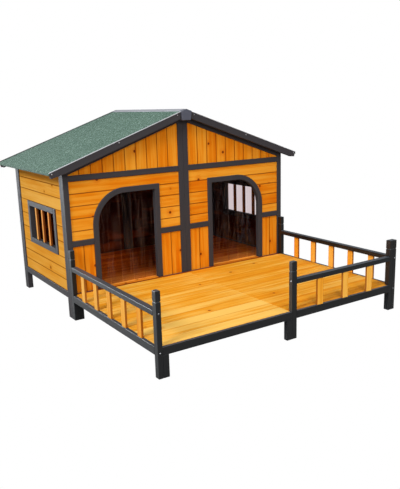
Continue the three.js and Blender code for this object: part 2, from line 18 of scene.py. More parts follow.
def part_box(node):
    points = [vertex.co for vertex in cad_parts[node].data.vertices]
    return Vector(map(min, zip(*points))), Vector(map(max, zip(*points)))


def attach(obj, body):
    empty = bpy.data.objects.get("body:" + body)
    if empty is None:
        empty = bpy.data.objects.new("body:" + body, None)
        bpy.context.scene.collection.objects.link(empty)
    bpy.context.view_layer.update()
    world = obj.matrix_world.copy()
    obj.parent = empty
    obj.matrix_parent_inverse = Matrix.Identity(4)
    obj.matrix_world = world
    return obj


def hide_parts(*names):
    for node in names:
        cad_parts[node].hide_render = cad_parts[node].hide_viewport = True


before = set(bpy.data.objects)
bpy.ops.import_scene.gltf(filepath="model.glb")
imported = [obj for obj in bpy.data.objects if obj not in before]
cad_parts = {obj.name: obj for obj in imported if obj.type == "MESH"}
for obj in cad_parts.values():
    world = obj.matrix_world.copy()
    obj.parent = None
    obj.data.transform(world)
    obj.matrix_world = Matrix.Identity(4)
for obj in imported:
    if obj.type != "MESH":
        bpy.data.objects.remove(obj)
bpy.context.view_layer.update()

log = logging.getLogger("dog_house")

Colour = tuple[float, float, float]
Point = tuple[float, float, float]
Span = tuple[float, float]
Outline = list[Span]
Socket = bpy.types.NodeSocket
Value = float | Colour | Socket


class Side(Enum):
    """One half of the house, as someone who faces the doorways sees it."""

    LEFT = -1
    RIGHT = 1

    @property
    def label(self) -> str:
        """The word that the node names use."""
        return self.name.lower()

    def span(self, near: float, far: float) -> Span:
        """Limits along X of a piece that lies between two distances from the centre line."""
        low, high = sorted((self.value * near, self.value * far))
        return low, high

    def mirror(self, outline: Outline) -> Outline:
        """The outline on this half, in an order that keeps its turn."""
        turned = [(self.value * a, b) for a, b in outline]
        return turned if self is Side.RIGHT else turned[::-1]


class Axis(Enum):
    """An axis of the frame."""

    X = 0
    Y = 1
    Z = 2


# ---------------------------------------------------------------- sizes


@dataclass(frozen=True)
class HouseSizes:
    """Sizes that several sub-assemblies share."""

    half_width: float = 0.674
    porch_front: float = -0.815
    wall_front: float = 0.040
    wall_rear: float = 0.765
    wall_depth: float = 0.028
    side_stile: float = 0.022
    floor: float = 0.127
    base: float = 0.100
    board: float = 0.012
    plank: float = 0.061
    upright: float = 0.062
    side_foot_rail: float = 0.032
    side_head_rail: float = 0.028
    recess: float = 0.006
    gap: float = 0.0007
    tie: Span = (0.680, 0.708)
    mid: Span = (0.361, 0.389)
    stile: float = 0.030

    @property
    def inner(self) -> float:
        """Distance from the centre line to the inner face of a side wall."""
        return self.half_width - self.wall_depth


@dataclass(frozen=True)
class RoofSizes:
    """Heights and thicknesses of the roof. Heights along the slope fall by slope * distance."""

    ridge: float = 1.000
    slope: float = math.tan(math.radians(19.46))
    cosine: float = math.cos(math.radians(19.46))
    half: float = 0.750
    cap: float = 0.0015
    felt: float = 0.002
    board: float = 0.0115
    rake: float = 0.040
    clearance: float = 0.0003
    barge: float = 0.036
    barge_tail: float = 0.029
    taper: float = 0.085
    barge_front: float = 0.000
    barge_front_back: float = 0.018
    barge_rear_front: float = 0.789
    barge_rear: float = 0.807
    barge_start: float = 0.0323
    trim: float = 0.006
    trim_proud: float = 0.0012
    trim_back: float = 0.0048
    trim_depth: float = 0.0016
    trim_overhang: float = 0.001
    trim_front_rise: float = 0.0009
    trim_rear_rise: float = 0.0030
    block_proud: float = 0.008
    beam_bottom: float = 0.942
    batten: float = 0.018
    batten_setback: float = 0.014
    purlin: Span = (0.309, 0.337)
    block_bottom: float = 0.025
    block_top: float = 0.032
    cap_reach: float = 0.030
    boards: int = 9

    def cap_top(self, x: float) -> float:
        """Height of the metal cap's upper face at a distance from the centre line."""
        return self.ridge - self.slope * abs(x)

    def cap_under(self, x: float) -> float:
        """Height of the metal cap's lower face."""
        return self.cap_top(x) - self.cap / self.cosine

    def top(self, x: float) -> float:
        """Height of the felt's upper face."""
        return self.ridge - self.cap / self.cosine - self.clearance - self.slope * abs(x)

    def felt_under(self, x: float) -> float:
        """Height of the felt's lower face."""
        return self.top(x) - self.felt / self.cosine

    def board_top(self, x: float) -> float:
        """Height of the roof boarding's upper face."""
        return self.felt_under(x) - self.clearance

    def board_under(self, x: float) -> float:
        """Height of the roof boarding's lower face."""
        return self.board_top(x) - self.board / self.cosine

    def batten_under(self, x: float) -> float:
        """Height of the lower face of the battens and purlins."""
        return self.board_under(x) - self.batten / self.cosine

    def rake_top(self, x: float) -> float:
        """Height of the rake rail's upper edge."""
        return self.board_under(x) - self.clearance

    def rake_under(self, x: float) -> float:
        """Height of the rake rail's lower edge."""
        return self.rake_top(x) - self.rake / self.cosine


@dataclass(frozen=True)
class DoorSizes:
    """One doorway. Its outer top corner is a quarter of a circle."""

    near: float = 0.151
    far: float = 0.532
    member: float = 0.028
    top: float = 0.6275
    radius: float = 0.180
    steps: int = 24

    def arc(self, radius: float, low: float = 0.0, high: float = 1e3) -> Outline:
        """Points (distance, height) on the corner at a radius, from the lower height to the upper.

        The corner is x = cx + r cos t, z = cz + r sin t for t from 0 to a quarter turn.

        Args:
            radius: radius of the arc.
            low: the lowest height wanted.
            high: the highest height wanted.

        Returns:
            The points, evenly turned between the two heights.
        """
        cx, cz = self.far - self.radius, self.top - self.radius
        limits = np.clip((np.array([low, high]) - cz) / radius, 0.0, 1.0)
        angles = np.linspace(*np.arcsin(limits), self.steps + 1)
        return list(zip((cx + radius * np.cos(angles)).tolist(), (cz + radius * np.sin(angles)).tolist()))


HOUSE = HouseSizes()
ROOF = RoofSizes()
DOOR = DoorSizes()


# ---------------------------------------------------------------- finishes


@dataclass(frozen=True)
class PineFinish:
    """Stained pine: pale, middle and deep shades of its face, its knots and its joints."""

    name: str
    pale: Colour
    middle: Colour
    deep: Colour
    knot: Colour
    joint: Colour
    joint_share: float = 0.85
    joint_width: float = 0.0036
    spread: float = 0.5
    clear: float = 0.50
    roughness: float = 0.55
    sheen: float = 0.05


@dataclass(frozen=True)
class PaintFinish:
    """Opaque paint over wood or sheet metal, mottled with a paler shade, with a painted highlight on the
    arrises and painted light on the upper faces.
    """

    name: str
    base: Colour
    worn: Colour
    roughness: float
    sheen: float = 0.30
    # Colour of the painted highlight on the arrises and of the painted light on upper faces.
    arris: Colour = (0.10, 0.11, 0.13)
    grain: float = 1.0


@dataclass(frozen=True)
class FeltFinish:
    """Mineral roofing felt: its granules' shades."""

    name: str
    dark: Colour
    middle: Colour
    light: Colour


@dataclass(frozen=True)
class VinylFinish:
    """Clear soft vinyl."""

    name: str
    tint: Colour
    roughness: float


@dataclass(frozen=True)
class ZincFinish:
    """Bright zinc plate."""

    name: str
    base: Colour
    roughness: float


WHITE: Colour = (1.0, 1.0, 1.0)
# Painted shade for pine faces that look into the house, and the paler painted light of its lit patches.
PAINTED_INSIDE_SHADE: Colour = (0.070, 0.0095, 0.002)
PAINTED_INSIDE_LIGHT: Colour = (0.26, 0.046, 0.005)
# FRONT_PINE, SIDE_PINE and DECK_PINE are copies of one stain: the front's deeper, redder shades are painted
# shade, the side's and deck's paler ones painted light.
FRONT_PINE = PineFinish("pine_front", (0.69, 0.290, 0.024), (0.62, 0.180, 0.0028), (0.53, 0.102, 0.0007),
                        (0.12, 0.014, 0.001), (0.17, 0.026, 0.001), spread=0.28)
SIDE_PINE = PineFinish("pine_side", (0.74, 0.39, 0.076), (0.68, 0.305, 0.036), (0.59, 0.200, 0.012),
                       (0.14, 0.020, 0.003), (0.24, 0.060, 0.003), spread=0.40, sheen=0.0)
DECK_PINE = PineFinish("pine_deck", (0.76, 0.455, 0.100), (0.69, 0.284, 0.015), (0.61, 0.190, 0.004),
                       (0.22, 0.040, 0.003), (0.42, 0.12, 0.004), 0.60, 0.0030, 0.75, clear=0.86)
# BAR_PINE's dark joint colour covers the bars' narrow side faces and paints the shade inside the window
# recess.
BAR_PINE = PineFinish("pine_bar", (0.80, 0.400, 0.080), (0.76, 0.320, 0.042), (0.66, 0.210, 0.014),
                      (0.20, 0.045, 0.007), (0.10, 0.012, 0.002), 0.90, 0.0016, 0.30, clear=0.90)
BARE_PINE = PineFinish("pine_bare", (0.80, 0.270, 0.018), (0.60, 0.170, 0.009), (0.46, 0.105, 0.004),
                       (0.12, 0.018, 0.002), (0.12, 0.016, 0.001))
# Its reach from pale to deep carries the house floor's painted light and shade and the rear rim's painted
# shadow.
FLOOR_PINE = PineFinish("pine_floor", (0.98, 0.370, 0.050), (0.75, 0.160, 0.009), (0.30, 0.034, 0.001),
                        (0.12, 0.018, 0.002), (0.12, 0.016, 0.001), 0.60, 0.0020, 0.80, clear=0.80)
CHARCOAL = PaintFinish("charcoal_paint", (0.0320, 0.0298, 0.0338), (0.058, 0.053, 0.056), 0.42, 0.14,
                       (0.060, 0.060, 0.066))
PORCH_PAINT = PaintFinish("porch_paint", (0.0032, 0.0036, 0.0040), (0.011, 0.013, 0.016), 0.40, 0.40,
                          (0.060, 0.070, 0.085))
BLOCK_PAINT = PaintFinish("block_paint", (0.062, 0.066, 0.092), (0.095, 0.100, 0.125), 0.45, 0.30,
                          (0.12, 0.125, 0.15))
# Pale grey of the front edge trim: a painted highlight along the roof's front edge; the rear trim is
# charcoal.
TRIM_PAINTED_HIGHLIGHT = PaintFinish("roof_trim", (0.43, 0.44, 0.49), (0.54, 0.54, 0.59), 0.38, 0.5,
                        (0.62, 0.63, 0.68), grain=0.2)
RIDGE_METAL = PaintFinish("ridge_metal", (0.21, 0.22, 0.25), (0.28, 0.29, 0.33), 0.36, 0.5,
                          (0.32, 0.33, 0.37), grain=0.2)
FELT = FeltFinish("green_felt", (0.018, 0.056, 0.037), (0.084, 0.162, 0.118), (0.27, 0.38, 0.33))
VINYL = VinylFinish("clear_vinyl", (0.80, 0.735, 0.75), 0.08)
ZINC = ZincFinish("zinc_screw", (0.40, 0.41, 0.44), 0.30)
SLAT_PINE = PineFinish("pine_slat", (0.82, 0.430, 0.075), (0.76, 0.325, 0.026), (0.66, 0.215, 0.009),
                       (0.20, 0.045, 0.007), (0.20, 0.035, 0.003), 0.80, 0.0016, 0.30, clear=0.90)


Finish = PineFinish | PaintFinish | FeltFinish | VinylFinish | ZincFinish


class Graph:
    """A material's or a world's node tree, with short calls for the nodes that the finishes share."""

    def __init__(self, name: str, world: bool = False) -> None:
        """Starts an empty material, or an empty world.

        Args:
            name: its name.
            world: whether it is a world.
        """
        self.owner = (bpy.data.worlds if world else bpy.data.materials).new(name)
        self.owner.use_nodes = True
        self.tree = self.owner.node_tree
        self.tree.nodes.clear()
        self.output = self.node("OutputWorld" if world else "OutputMaterial")

    def node(self, kind: str, inputs: dict | None = None, **settings: str | bool) -> bpy.types.Node:
        """Adds a node, sets its properties, and sets or links its inputs.

        Args:
            kind: the node type without its ShaderNode prefix.
            inputs: input name or index to a value or to an output socket.
            settings: node properties.

        Returns:
            The new node.
        """
        made = self.tree.nodes.new("ShaderNode" + kind)
        for key, value in settings.items():
            setattr(made, key, value)
        for key, value in (inputs or {}).items():
            self.feed(made.inputs[key], value)
        return made

    def feed(self, socket: Socket, value: Value) -> None:
        """Links an output socket to an input, or sets the input's value.

        Args:
            socket: the input.
            value: an output socket, a number, a vector or a colour.
        """
        if isinstance(value, Socket):
            self.tree.links.new(value, socket)
            return
        if isinstance(value, tuple) and len(value) == 3 and socket.type == "RGBA":
            value = (*value, 1.0)
        socket.default_value = value

    def math(self, operation: str, first: Value, second: Value = 0.0, third: Value = 0.0,
             clamp: bool = False) -> Socket:
        """The result of one arithmetic node."""
        inputs = {0: first, 1: second, 2: third}
        return self.node("Math", inputs, operation=operation, use_clamp=clamp).outputs[0]

    def times(self, first: Value, second: Value, clamp: bool = False) -> Socket:
        """The product of two values."""
        return self.math("MULTIPLY", first, second, clamp=clamp)

    def linear(self, value: Value, factor: Value, offset: Value, clamp: bool = False) -> Socket:
        """A value times a factor, plus an offset."""
        return self.math("MULTIPLY_ADD", value, factor, offset, clamp)

    def vector(self, operation: str, first: Value, second: Value) -> Socket:
        """The result of one vector arithmetic node."""
        return self.node("VectorMath", {0: first, 1: second}, operation=operation).outputs[0]

    def attribute(self, name: str, output: str = "Fac") -> Socket:
        """A mesh attribute's value."""
        return self.node("Attribute", attribute_name=name, attribute_type="GEOMETRY").outputs[output]

    def parts(self, vector: Value) -> bpy.types.NodeOutputs:
        """The three parts of a vector."""
        return self.node("SeparateXYZ", {0: vector}).outputs

    def grain(self, steps: Point) -> tuple[Socket, bpy.types.NodeOutputs, Socket]:
        """Where a point lies on its board, what the board is like, and where the board's own grain is read.

        The attribute grain_at holds (along, across, through) in metres from the board's middle, and
        board holds (half width, seed, tone). The grain is read at the seed times steps further on.

        Args:
            steps: how far the grain moves on each axis for a seed of one.

        Returns:
            The place on the board, the board's three numbers, and the place where its grain is read.
        """
        place = self.attribute("grain_at", "Vector")
        board = self.parts(self.attribute("board", "Vector"))
        shift = self.node("CombineXYZ", {axis: self.times(board[1], step) for axis, step in enumerate(steps)})
        return place, board, self.vector("ADD", place, shift.outputs[0])

    def cells(self, vector: Value, scale: float, **settings: str) -> tuple[Socket, bpy.types.NodeOutputs]:
        """The distance to the middle of a point's cell, and three random numbers of that cell."""
        made = self.node("TexVoronoi", {"Vector": vector, "Scale": scale}, feature="F1", **settings).outputs
        return made["Distance"], self.node("SeparateColor", {0: made["Color"]}).outputs

    def noise(self, vector: Value, scale: float | Point, detail: float = 2.0, rough: float = 0.5) -> Socket:
        """The value of a noise texture.

        Args:
            vector: where it is read.
            scale: how fine it is, as one number or one for each axis.
            detail: how many finer layers it has.
            rough: how strong the finer layers are.

        Returns:
            A number from 0 to 1.
        """
        if isinstance(scale, tuple):
            vector, scale = self.vector("MULTIPLY", vector, scale), 1.0
        settings = {"Vector": vector, "Scale": scale, "Detail": detail, "Roughness": rough}
        return self.node("TexNoise", settings).outputs[0]

    def step(self, value: Value, low: float, high: float, start: float = 0.0, end: float = 1.0) -> Socket:
        """A smooth step of a value from one level to another."""
        inputs = {"Value": value, "From Min": low, "From Max": high, "To Min": start, "To Max": end}
        return self.node("MapRange", inputs, interpolation_type="SMOOTHSTEP").outputs[0]

    def mix(self, factor: Value, first: Value, second: Value) -> Socket:
        """A mix of two colours."""
        return self.node("Mix", {0: factor, 6: first, 7: second}, data_type="RGBA").outputs[2]

    def blend(self, factor: Value, first: Socket, second: Socket) -> Socket:
        """A mix of two shaders."""
        return self.node("MixShader", {0: factor, 1: first, 2: second}).outputs[0]

    def bump(self, height: Value, strength: float, distance: float) -> Socket:
        """A bumped normal from a height."""
        return self.node("Bump", {"Height": height, "Strength": strength, "Distance": distance}).outputs[0]

    def principled(self, colour: Value, roughness: Value, normal: Socket,
                   **more: float) -> bpy.types.Material:
        """Ends the material with a principled shader.

        Args:
            colour: its base colour.
            roughness: its roughness.
            normal: its bumped normal.
            more: its other inputs by name, with underscores for spaces.

        Returns:
            The material.
        """
        inputs = {"Base Color": colour, "Roughness": roughness, "Normal": normal}
        inputs.update({name.replace("_", " "): value for name, value in more.items()})
        return self.surface(self.node("BsdfPrincipled", inputs).outputs[0])

    def surface(self, shader: Socket) -> bpy.types.Material | bpy.types.World:
        """Ends the tree with a shader and returns the material or the world."""
        self.feed(self.output.inputs["Surface"], shader)
        return self.owner


class Finishes:
    """Makes each finish's material once."""

    def __init__(self) -> None:
        """Starts with no materials."""
        self.made: dict[str, bpy.types.Material] = {}

    def get(self, finish: Finish) -> bpy.types.Material:
        """The material of a finish.

        Args:
            finish: what the piece is finished with.

        Returns:
            The finish's material, made on the first call.
        """
        makers = {
            PineFinish: self.pine, PaintFinish: self.paint, FeltFinish: self.felt,
            VinylFinish: self.vinyl, ZincFinish: self.zinc,
        }
        if finish.name not in self.made:
            self.made[finish.name] = makers[type(finish)](finish)
            log.info("material %s", finish.name)
        return self.made[finish.name]

    def pine(self, finish: PineFinish) -> bpy.types.Material:
        """Flat-sawn pine: growth rings, fibres, knots with the rings bent round them, dark joints, and
        painted shade with paler patches of painted light on the faces towards the inside of the house.

        Args:
            finish: its shades and how it shines.

        Returns:
            The material.
        """
        g = Graph(finish.name)
        place, board, here = g.grain((7.31, 3.17, 5.53))
        parts = g.parts(place)
        distance, picked = g.cells(here, 6.2, voronoi_dimensions="2D")
        chosen = g.step(picked[0], finish.clear, finish.clear + 0.02)
        reach = g.math("DIVIDE", distance, g.linear(picked[1], 0.034, 0.022))
        core = g.times(g.step(reach, 0.75, 1.25, 1.0, 0.0), chosen)
        halo = g.times(g.step(reach, 1.0, 4.5, 1.0, 0.0), chosen)
        wander = g.noise(here, (1.5, 9.0, 9.0), 3.0)
        across = g.math("ADD", parts[1], g.times(board[1], 0.013))
        bent = g.math("ADD", across, g.linear(wander, 0.045, g.times(halo, 0.012)))
        deep = g.math("ADD", parts[2], 0.035)
        radius = g.math("SQRT", g.math("ADD", g.times(bent, bent), g.times(deep, deep)))
        wave = g.math("SINE", g.times(radius, 1150.0))
        late = g.step(wave, -0.2, 1.0)
        fibre = g.noise(here, (14.0, 620.0, 620.0), 2.0, 0.6)
        streak = g.noise(here, (2.2, 55.0, 55.0), 3.0, 0.6)
        cloud = g.noise(here, (3.5, 10.0, 10.0), 2.0)
        shade = g.linear(late, 0.16, g.linear(board[2], finish.spread, 0.06))
        shade = g.math("ADD", shade, g.linear(g.step(streak, 0.36, 0.68), 0.42,
                                            g.linear(cloud, 0.9, -0.48)))
        shade = g.linear(g.math("SUBTRACT", fibre, 0.5), 0.30, shade, clamp=True)
        near = g.mix(g.times(shade, 2.0, clamp=True), finish.pale, finish.middle)
        colour = g.mix(g.linear(shade, 2.0, -1.0, clamp=True), near, finish.deep)
        colour = g.mix(g.times(halo, 0.45), colour, finish.deep)
        colour = g.mix(g.times(core, 0.9), colour, finish.knot)
        edge = g.math("SUBTRACT", board[0], g.math("ABSOLUTE", parts[1]))
        seam = g.step(edge, 0.0004, finish.joint_width, finish.joint_share, 0.0)
        colour = g.mix(seam, colour, finish.joint)
        # Painted shade: faces towards the inside take the dark inside colour, with paler patches of painted
        # light.
        inner = g.step(g.attribute("inside"), 0.55, 0.9)
        worn = g.step(g.noise(here, (5.0, 11.0, 11.0), 2.0), 0.50, 0.64)
        painted_inside = g.mix(g.times(worn, 0.8), PAINTED_INSIDE_SHADE, PAINTED_INSIDE_LIGHT)
        colour = g.mix(inner, colour, painted_inside)
        height = g.linear(late, 0.35, g.linear(fibre, 0.5, g.times(core, 0.6)))
        rough = g.linear(fibre, 0.16, finish.roughness - 0.08)
        return g.principled(colour, rough, g.bump(height, 0.35, 0.0006), Specular_IOR_Level=finish.sheen)

    def paint(self, finish: PaintFinish) -> bpy.types.Material:
        """Paint that shows the grain under it, with a painted highlight on the arrises and painted light,
        mottled by the brush marks, on its upper faces.

        Args:
            finish: its shades and how it shines.

        Returns:
            The material.
        """
        g = Graph(finish.name)
        here = g.grain((1.0, 2.7, 1.0))[2]
        fibre = g.noise(here, (9.0, 420.0, 420.0), 3.0, 0.6)
        brush = g.noise(here, (3.0, 40.0, 40.0), 2.0)
        speck = g.noise(here, 900.0, 2.0)
        geometry = g.node("NewGeometry").outputs
        # Painted highlight on the arrises, and painted light on faces that look up.
        arris = g.step(geometry["Pointiness"], 0.58, 0.66)
        mottled = g.linear(brush, 0.6, g.linear(speck, 0.25, -0.12), clamp=True)
        colour = g.mix(g.times(mottled, 0.5), finish.base, finish.worn)
        upward = g.step(g.parts(geometry["Normal"])[2], 0.6, 0.97)
        painted_top_light = g.times(upward, g.linear(brush, 0.5, 0.45))
        painted_highlight = g.math("MAXIMUM", painted_top_light, g.times(arris, 0.75), clamp=True)
        colour = g.mix(painted_highlight, colour, finish.arris)
        height = g.linear(fibre, 0.7, g.times(speck, 0.3))
        rough = g.linear(brush, 0.14, finish.roughness - 0.07)
        normal = g.bump(height, 0.30 * finish.grain, 0.0006)
        return g.principled(colour, rough, normal, Specular_IOR_Level=finish.sheen)

    def felt(self, finish: FeltFinish) -> bpy.types.Material:
        """Crushed stone granules of three shades pressed into bitumen.

        Args:
            finish: its shades and how it shines.

        Returns:
            The material.
        """
        g = Graph(finish.name)
        here = g.node("TexCoord").outputs["Object"]
        pits, fine = g.cells(here, 420.0)
        tone, coarse = fine[0], g.cells(here, 190.0)[1][0]
        drift = g.noise(here, 9.0, 4.0, 0.6)
        patch = g.noise(here, 60.0, 3.0, 0.7)
        shade = g.linear(coarse, 0.42, g.linear(patch, 0.50, -0.02))
        shade = g.math("ADD", shade, g.linear(drift, 0.35, -0.22), clamp=True)
        colour = g.mix(shade, finish.dark, finish.middle)
        colour = g.mix(g.step(tone, 0.80, 0.97), colour, finish.light)
        colour = g.mix(g.times(g.step(coarse, 0.84, 0.90), 0.32), colour, finish.light)
        colour = g.mix(g.times(g.step(coarse, 0.10, 0.16, 1.0, 0.0), 0.55), colour, finish.dark)
        height = g.linear(pits, -0.8, g.times(patch, 0.4))
        return g.principled(colour, 0.93, g.bump(height, 0.7, 0.0012), Specular_IOR_Level=0.25)

    def vinyl(self, finish: VinylFinish) -> bpy.types.Material:
        """Thin clear sheet: straight through it, with a wavering reflection and a milky edge.

        Args:
            finish: its shades and how it shines.

        Returns:
            The material.
        """
        g = Graph(finish.name)
        here = g.node("TexCoord").outputs["Object"]
        normal = g.bump(g.noise(here, (9.0, 9.0, 4.0), 2.0, 0.6), 0.8, 0.020)
        fresnel = g.node("Fresnel", {"IOR": 1.52, "Normal": normal}).outputs[0]
        through = g.node("BsdfTransparent", {"Color": finish.tint}).outputs[0]
        gloss = g.node("BsdfAnisotropic", {"Color": WHITE, "Roughness": finish.roughness, "Normal": normal})
        milk = g.node("BsdfDiffuse", {"Color": (0.66, 0.40, 0.28)}).outputs[0]
        haze = g.linear(g.step(g.attribute("rim"), 0.92, 1.0), 0.034, g.times(g.attribute("cloud"), 0.014))
        haze = g.linear(g.attribute("crease"), 0.060, haze)
        share = g.times(fresnel, 0.05, clamp=True)
        return g.surface(g.blend(share, g.blend(haze, through, milk), gloss.outputs[0]))

    def zinc(self, finish: ZincFinish) -> bpy.types.Material:
        """Plated steel with fine turning marks.

        Args:
            finish: its shades and how it shines.

        Returns:
            The material.
        """
        g = Graph(finish.name)
        here = g.node("TexCoord").outputs["Object"]
        mottled = g.noise(here, 700.0, 3.0)
        rough = g.linear(mottled, 0.2, finish.roughness - 0.1)
        return g.principled(finish.base, rough, g.bump(mottled, 0.2, 0.0002), Metallic=1.0)


FINISHES = Finishes()


# ---------------------------------------------------------------- timber


# The turn past which an edge is rounded, and the ranges of a board's tone and of its grain's seed.
SHARP = math.radians(28)
TONES: Span = (-0.35, 1.0)
GRAIN_SEEDS: Span = (0, 40)


class Arris(Enum):
    """Width of the rounded arrises on a kind of piece, and the steps round each."""

    FRAME = (0.0016, 2)
    BOARD = (0.0011, 2)
    SLAT = (0.0015, 2)
    CAP = (0.0004, 2)
    TRIM = (0.0003, 2)
    RAIL = (0.0036, 3)
    BAR = (0.0025, 3)
    STOUT = (0.0030, 3)
    BARGEBOARD = (0.0022, 3)
    BEAM = (0.0020, 3)


class Timber:
    """Collects bars and boards, and makes them into one mesh of separate bevelled solids."""

    def __init__(self, name: str, finish: Finish, seed: int, indoors: Point = (0.0, 0.0, 0.0),
                 depth: float = 0.0) -> None:
        """Starts an empty set.

        Args:
            name: the piece's name.
            finish: the finish of its boards.
            seed: where this piece's run of board tones starts.
            indoors: direction of the side that faces the inside of the house, whose faces get painted shade,
                or zeros for none.
            depth: how much deeper than usual its boards' tones are.
        """
        self.indoors = np.array(indoors)
        self.depth = depth
        self.name = name
        self.finish = finish
        self.random = np.random.default_rng(seed)
        self.vertices: list[np.ndarray] = []
        self.faces: list[tuple[int, ...]] = []
        self.places: list[np.ndarray] = []
        self.boards: list[np.ndarray] = []
        self.inner: list[np.ndarray] = []
        self.count = 0

    def prism(self, outline: Outline, axis: Axis, low: float, high: float, grain: Axis | float,
              tone: float | None = None) -> None:
        """Adds a solid: an outline carried along an axis.

        The outline's points lie on the other two axes, in X, Y, Z order. A board's place attribute
        is its distance from the outline's middle along, across and through the grain; grain given
        as a number is the angle of the grain in the outline's plane.

        Args:
            outline: corner points in order.
            axis: the axis that the outline is carried along.
            low: lower limit on that axis.
            high: upper limit on that axis.
            grain: the axis or the in-plane angle that the grain follows.
            tone: how deep the board's shade is, from -0.35 to 1, or None for one by chance.
        """
        flat = np.asarray(outline, float)
        others = [index for index in range(3) if index != axis.value]
        count = len(flat)
        points = np.zeros((2 * count, 3))
        points[:count, others] = flat
        points[count:, others] = flat
        points[:count, axis.value] = low
        points[count:, axis.value] = high
        area = np.sum(flat[:, 0] * np.roll(flat[:, 1], -1) - np.roll(flat[:, 0], -1) * flat[:, 1])
        turn = (area > 0) != (axis is Axis.Y)
        ring = np.arange(count) if turn else np.arange(count)[::-1]
        nxt = np.roll(ring, -1)
        start = self.count
        self.faces.append(tuple((start + ring[::-1]).tolist()))
        self.faces.append(tuple((start + count + ring).tolist()))
        sides = np.stack([ring, nxt, nxt + count, ring + count], axis=1) + start
        self.faces.extend(map(tuple, sides.tolist()))
        middle = (points.min(0) + points.max(0)) / 2
        local = points - middle
        if isinstance(grain, Axis):
            rest = sorted((i for i in range(3) if i != grain.value), key=lambda i: -np.ptp(points[:, i]))
            place = local[:, [grain.value, *rest]]
        else:
            along = np.cos(grain) * local[:, others[0]] + np.sin(grain) * local[:, others[1]]
            across = np.cos(grain) * local[:, others[1]] - np.sin(grain) * local[:, others[0]]
            place = np.stack([along, across, local[:, axis.value]], axis=1)
        half = np.ptp(place[:, 1]) / 2
        seed, chance = self.random.uniform(*GRAIN_SEEDS), self.random.uniform(*TONES)
        board = np.array([half, seed, chance + self.depth if tone is None else tone])
        self.vertices.append(points)
        self.places.append(place)
        self.boards.append(np.tile(board, (2 * count, 1)))
        # How far each point lies towards the inside, which the pine material turns into painted shade.
        depth = local @ self.indoors
        self.inner.append(depth / max(np.abs(depth).max(), 1e-6) * 0.5 + 0.5 * np.any(self.indoors))
        self.count += 2 * count

    def box(self, x: Span, y: Span, z: Span, grain: Axis) -> None:
        """Adds a box between limits on each axis."""
        (xa, xb), (ya, yb), (za, zb) = sorted(x), sorted(y), sorted(z)
        self.prism([(xa, za), (xb, za), (xb, zb), (xa, zb)], Axis.Y, ya, yb, grain)

    def build(self, arris: Arris, *replaced: str) -> bpy.types.Object:
        """Makes the object, which rides on the house.

        Args:
            arris: its rounded arrises.
            replaced: CAD nodes that it stands for.

        Returns:
            The finished object.
        """
        mesh = bpy.data.meshes.new(self.name)
        mesh.from_pydata(np.concatenate(self.vertices).tolist(), [], self.faces)
        for label, data in (("grain_at", self.places), ("board", self.boards), ("inside", self.inner)):
            store(mesh, label, np.concatenate(data))
        made = bpy.data.objects.new(self.name, mesh)
        return dress(made, self.finish, "house", replaced, arris)


def dress(made: bpy.types.Object, finish: Finish, body: str, replaced: tuple[str, ...] = (),
          arris: Arris | None = None) -> bpy.types.Object:
    """Links an object, gives it its finish and its arrises, and ties it to the frame.

    Args:
        made: the object, at the origin.
        finish: its finish.
        body: the CAD body that it rides on.
        replaced: CAD nodes that it stands for.
        arris: its rounded arrises, or None to leave its edges as they are.

    Returns:
        The same object.
    """
    bpy.context.scene.collection.objects.link(made)
    made.data.materials.append(FINISHES.get(finish))
    if arris:
        rounder = made.modifiers.new("arrises", "BEVEL")
        rounder.width, rounder.segments = arris.value
        rounder.limit_method = "ANGLE"
        rounder.angle_limit = SHARP
        rounder.use_clamp_overlap = True
        rounder.harden_normals = True
        made.data.shade_smooth()
    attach(made, body)
    if replaced:
        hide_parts(*replaced)
    log.info("piece %s: %d vertices", made.name, len(made.data.vertices))
    return made


def store(mesh: bpy.types.Mesh, name: str, values: np.ndarray) -> None:
    """Keeps a number or a vector at each of a mesh's points, for its material.

    Args:
        mesh: the mesh.
        name: name of the attribute.
        values: one number or one row of three for each point.
    """
    kind, field = ("FLOAT", "value") if values.ndim == 1 else ("FLOAT_VECTOR", "vector")
    layer = mesh.attributes.new(name, kind, "POINT")
    layer.data.foreach_set(field, values.astype(np.float32).ravel())


def thick(mesh: bpy.types.Mesh, thickness: float, offset: float) -> bpy.types.Object:
    """A smooth object of a sheet's mesh, with a thickness.

    Args:
        mesh: the sheet's mesh, which gives the object its name.
        thickness: how thick the sheet is.
        offset: 0 to thicken it both ways, or -1 to thicken it inwards.

    Returns:
        The object.
    """
    mesh.shade_smooth()
    made = bpy.data.objects.new(mesh.name, mesh)
    layer = made.modifiers.new("thickness", "SOLIDIFY")
    layer.thickness = thickness
    layer.offset = offset
    return made


def surface_mesh(name: str, grid: np.ndarray) -> bpy.types.Mesh:
    """A mesh from a grid of points.

    Args:
        name: the mesh's name.
        grid: points as an array of rows, columns and coordinates.

    Returns:
        The mesh, with one quad for each cell of the grid.
    """
    rows, columns = grid.shape[:2]
    index = np.arange(rows * columns).reshape(rows, columns)
    cells = np.stack([index[:-1, :-1], index[:-1, 1:], index[1:, 1:], index[1:, :-1]], axis=-1)
    mesh = bpy.data.meshes.new(name)
    mesh.from_pydata(grid.reshape(-1, 3).tolist(), [], cells.reshape(-1, 4).tolist())
    return mesh


def between(edges: np.ndarray) -> list[Span]:
    """Limits of the boards between neighbouring edges, with a narrow gap at each inner edge.

    Args:
        edges: the edges in rising order.

    Returns:
        The limits of each board.
    """
    low, high = edges[:-1].copy(), edges[1:].copy()
    low[1:] += HOUSE.gap / 2
    high[:-1] -= HOUSE.gap / 2
    return list(zip(low.tolist(), high.tolist()))


def spread(span: Span, count: int) -> list[Span]:
    """Equal boards that fill a span."""
    return between(np.linspace(*span, count + 1))


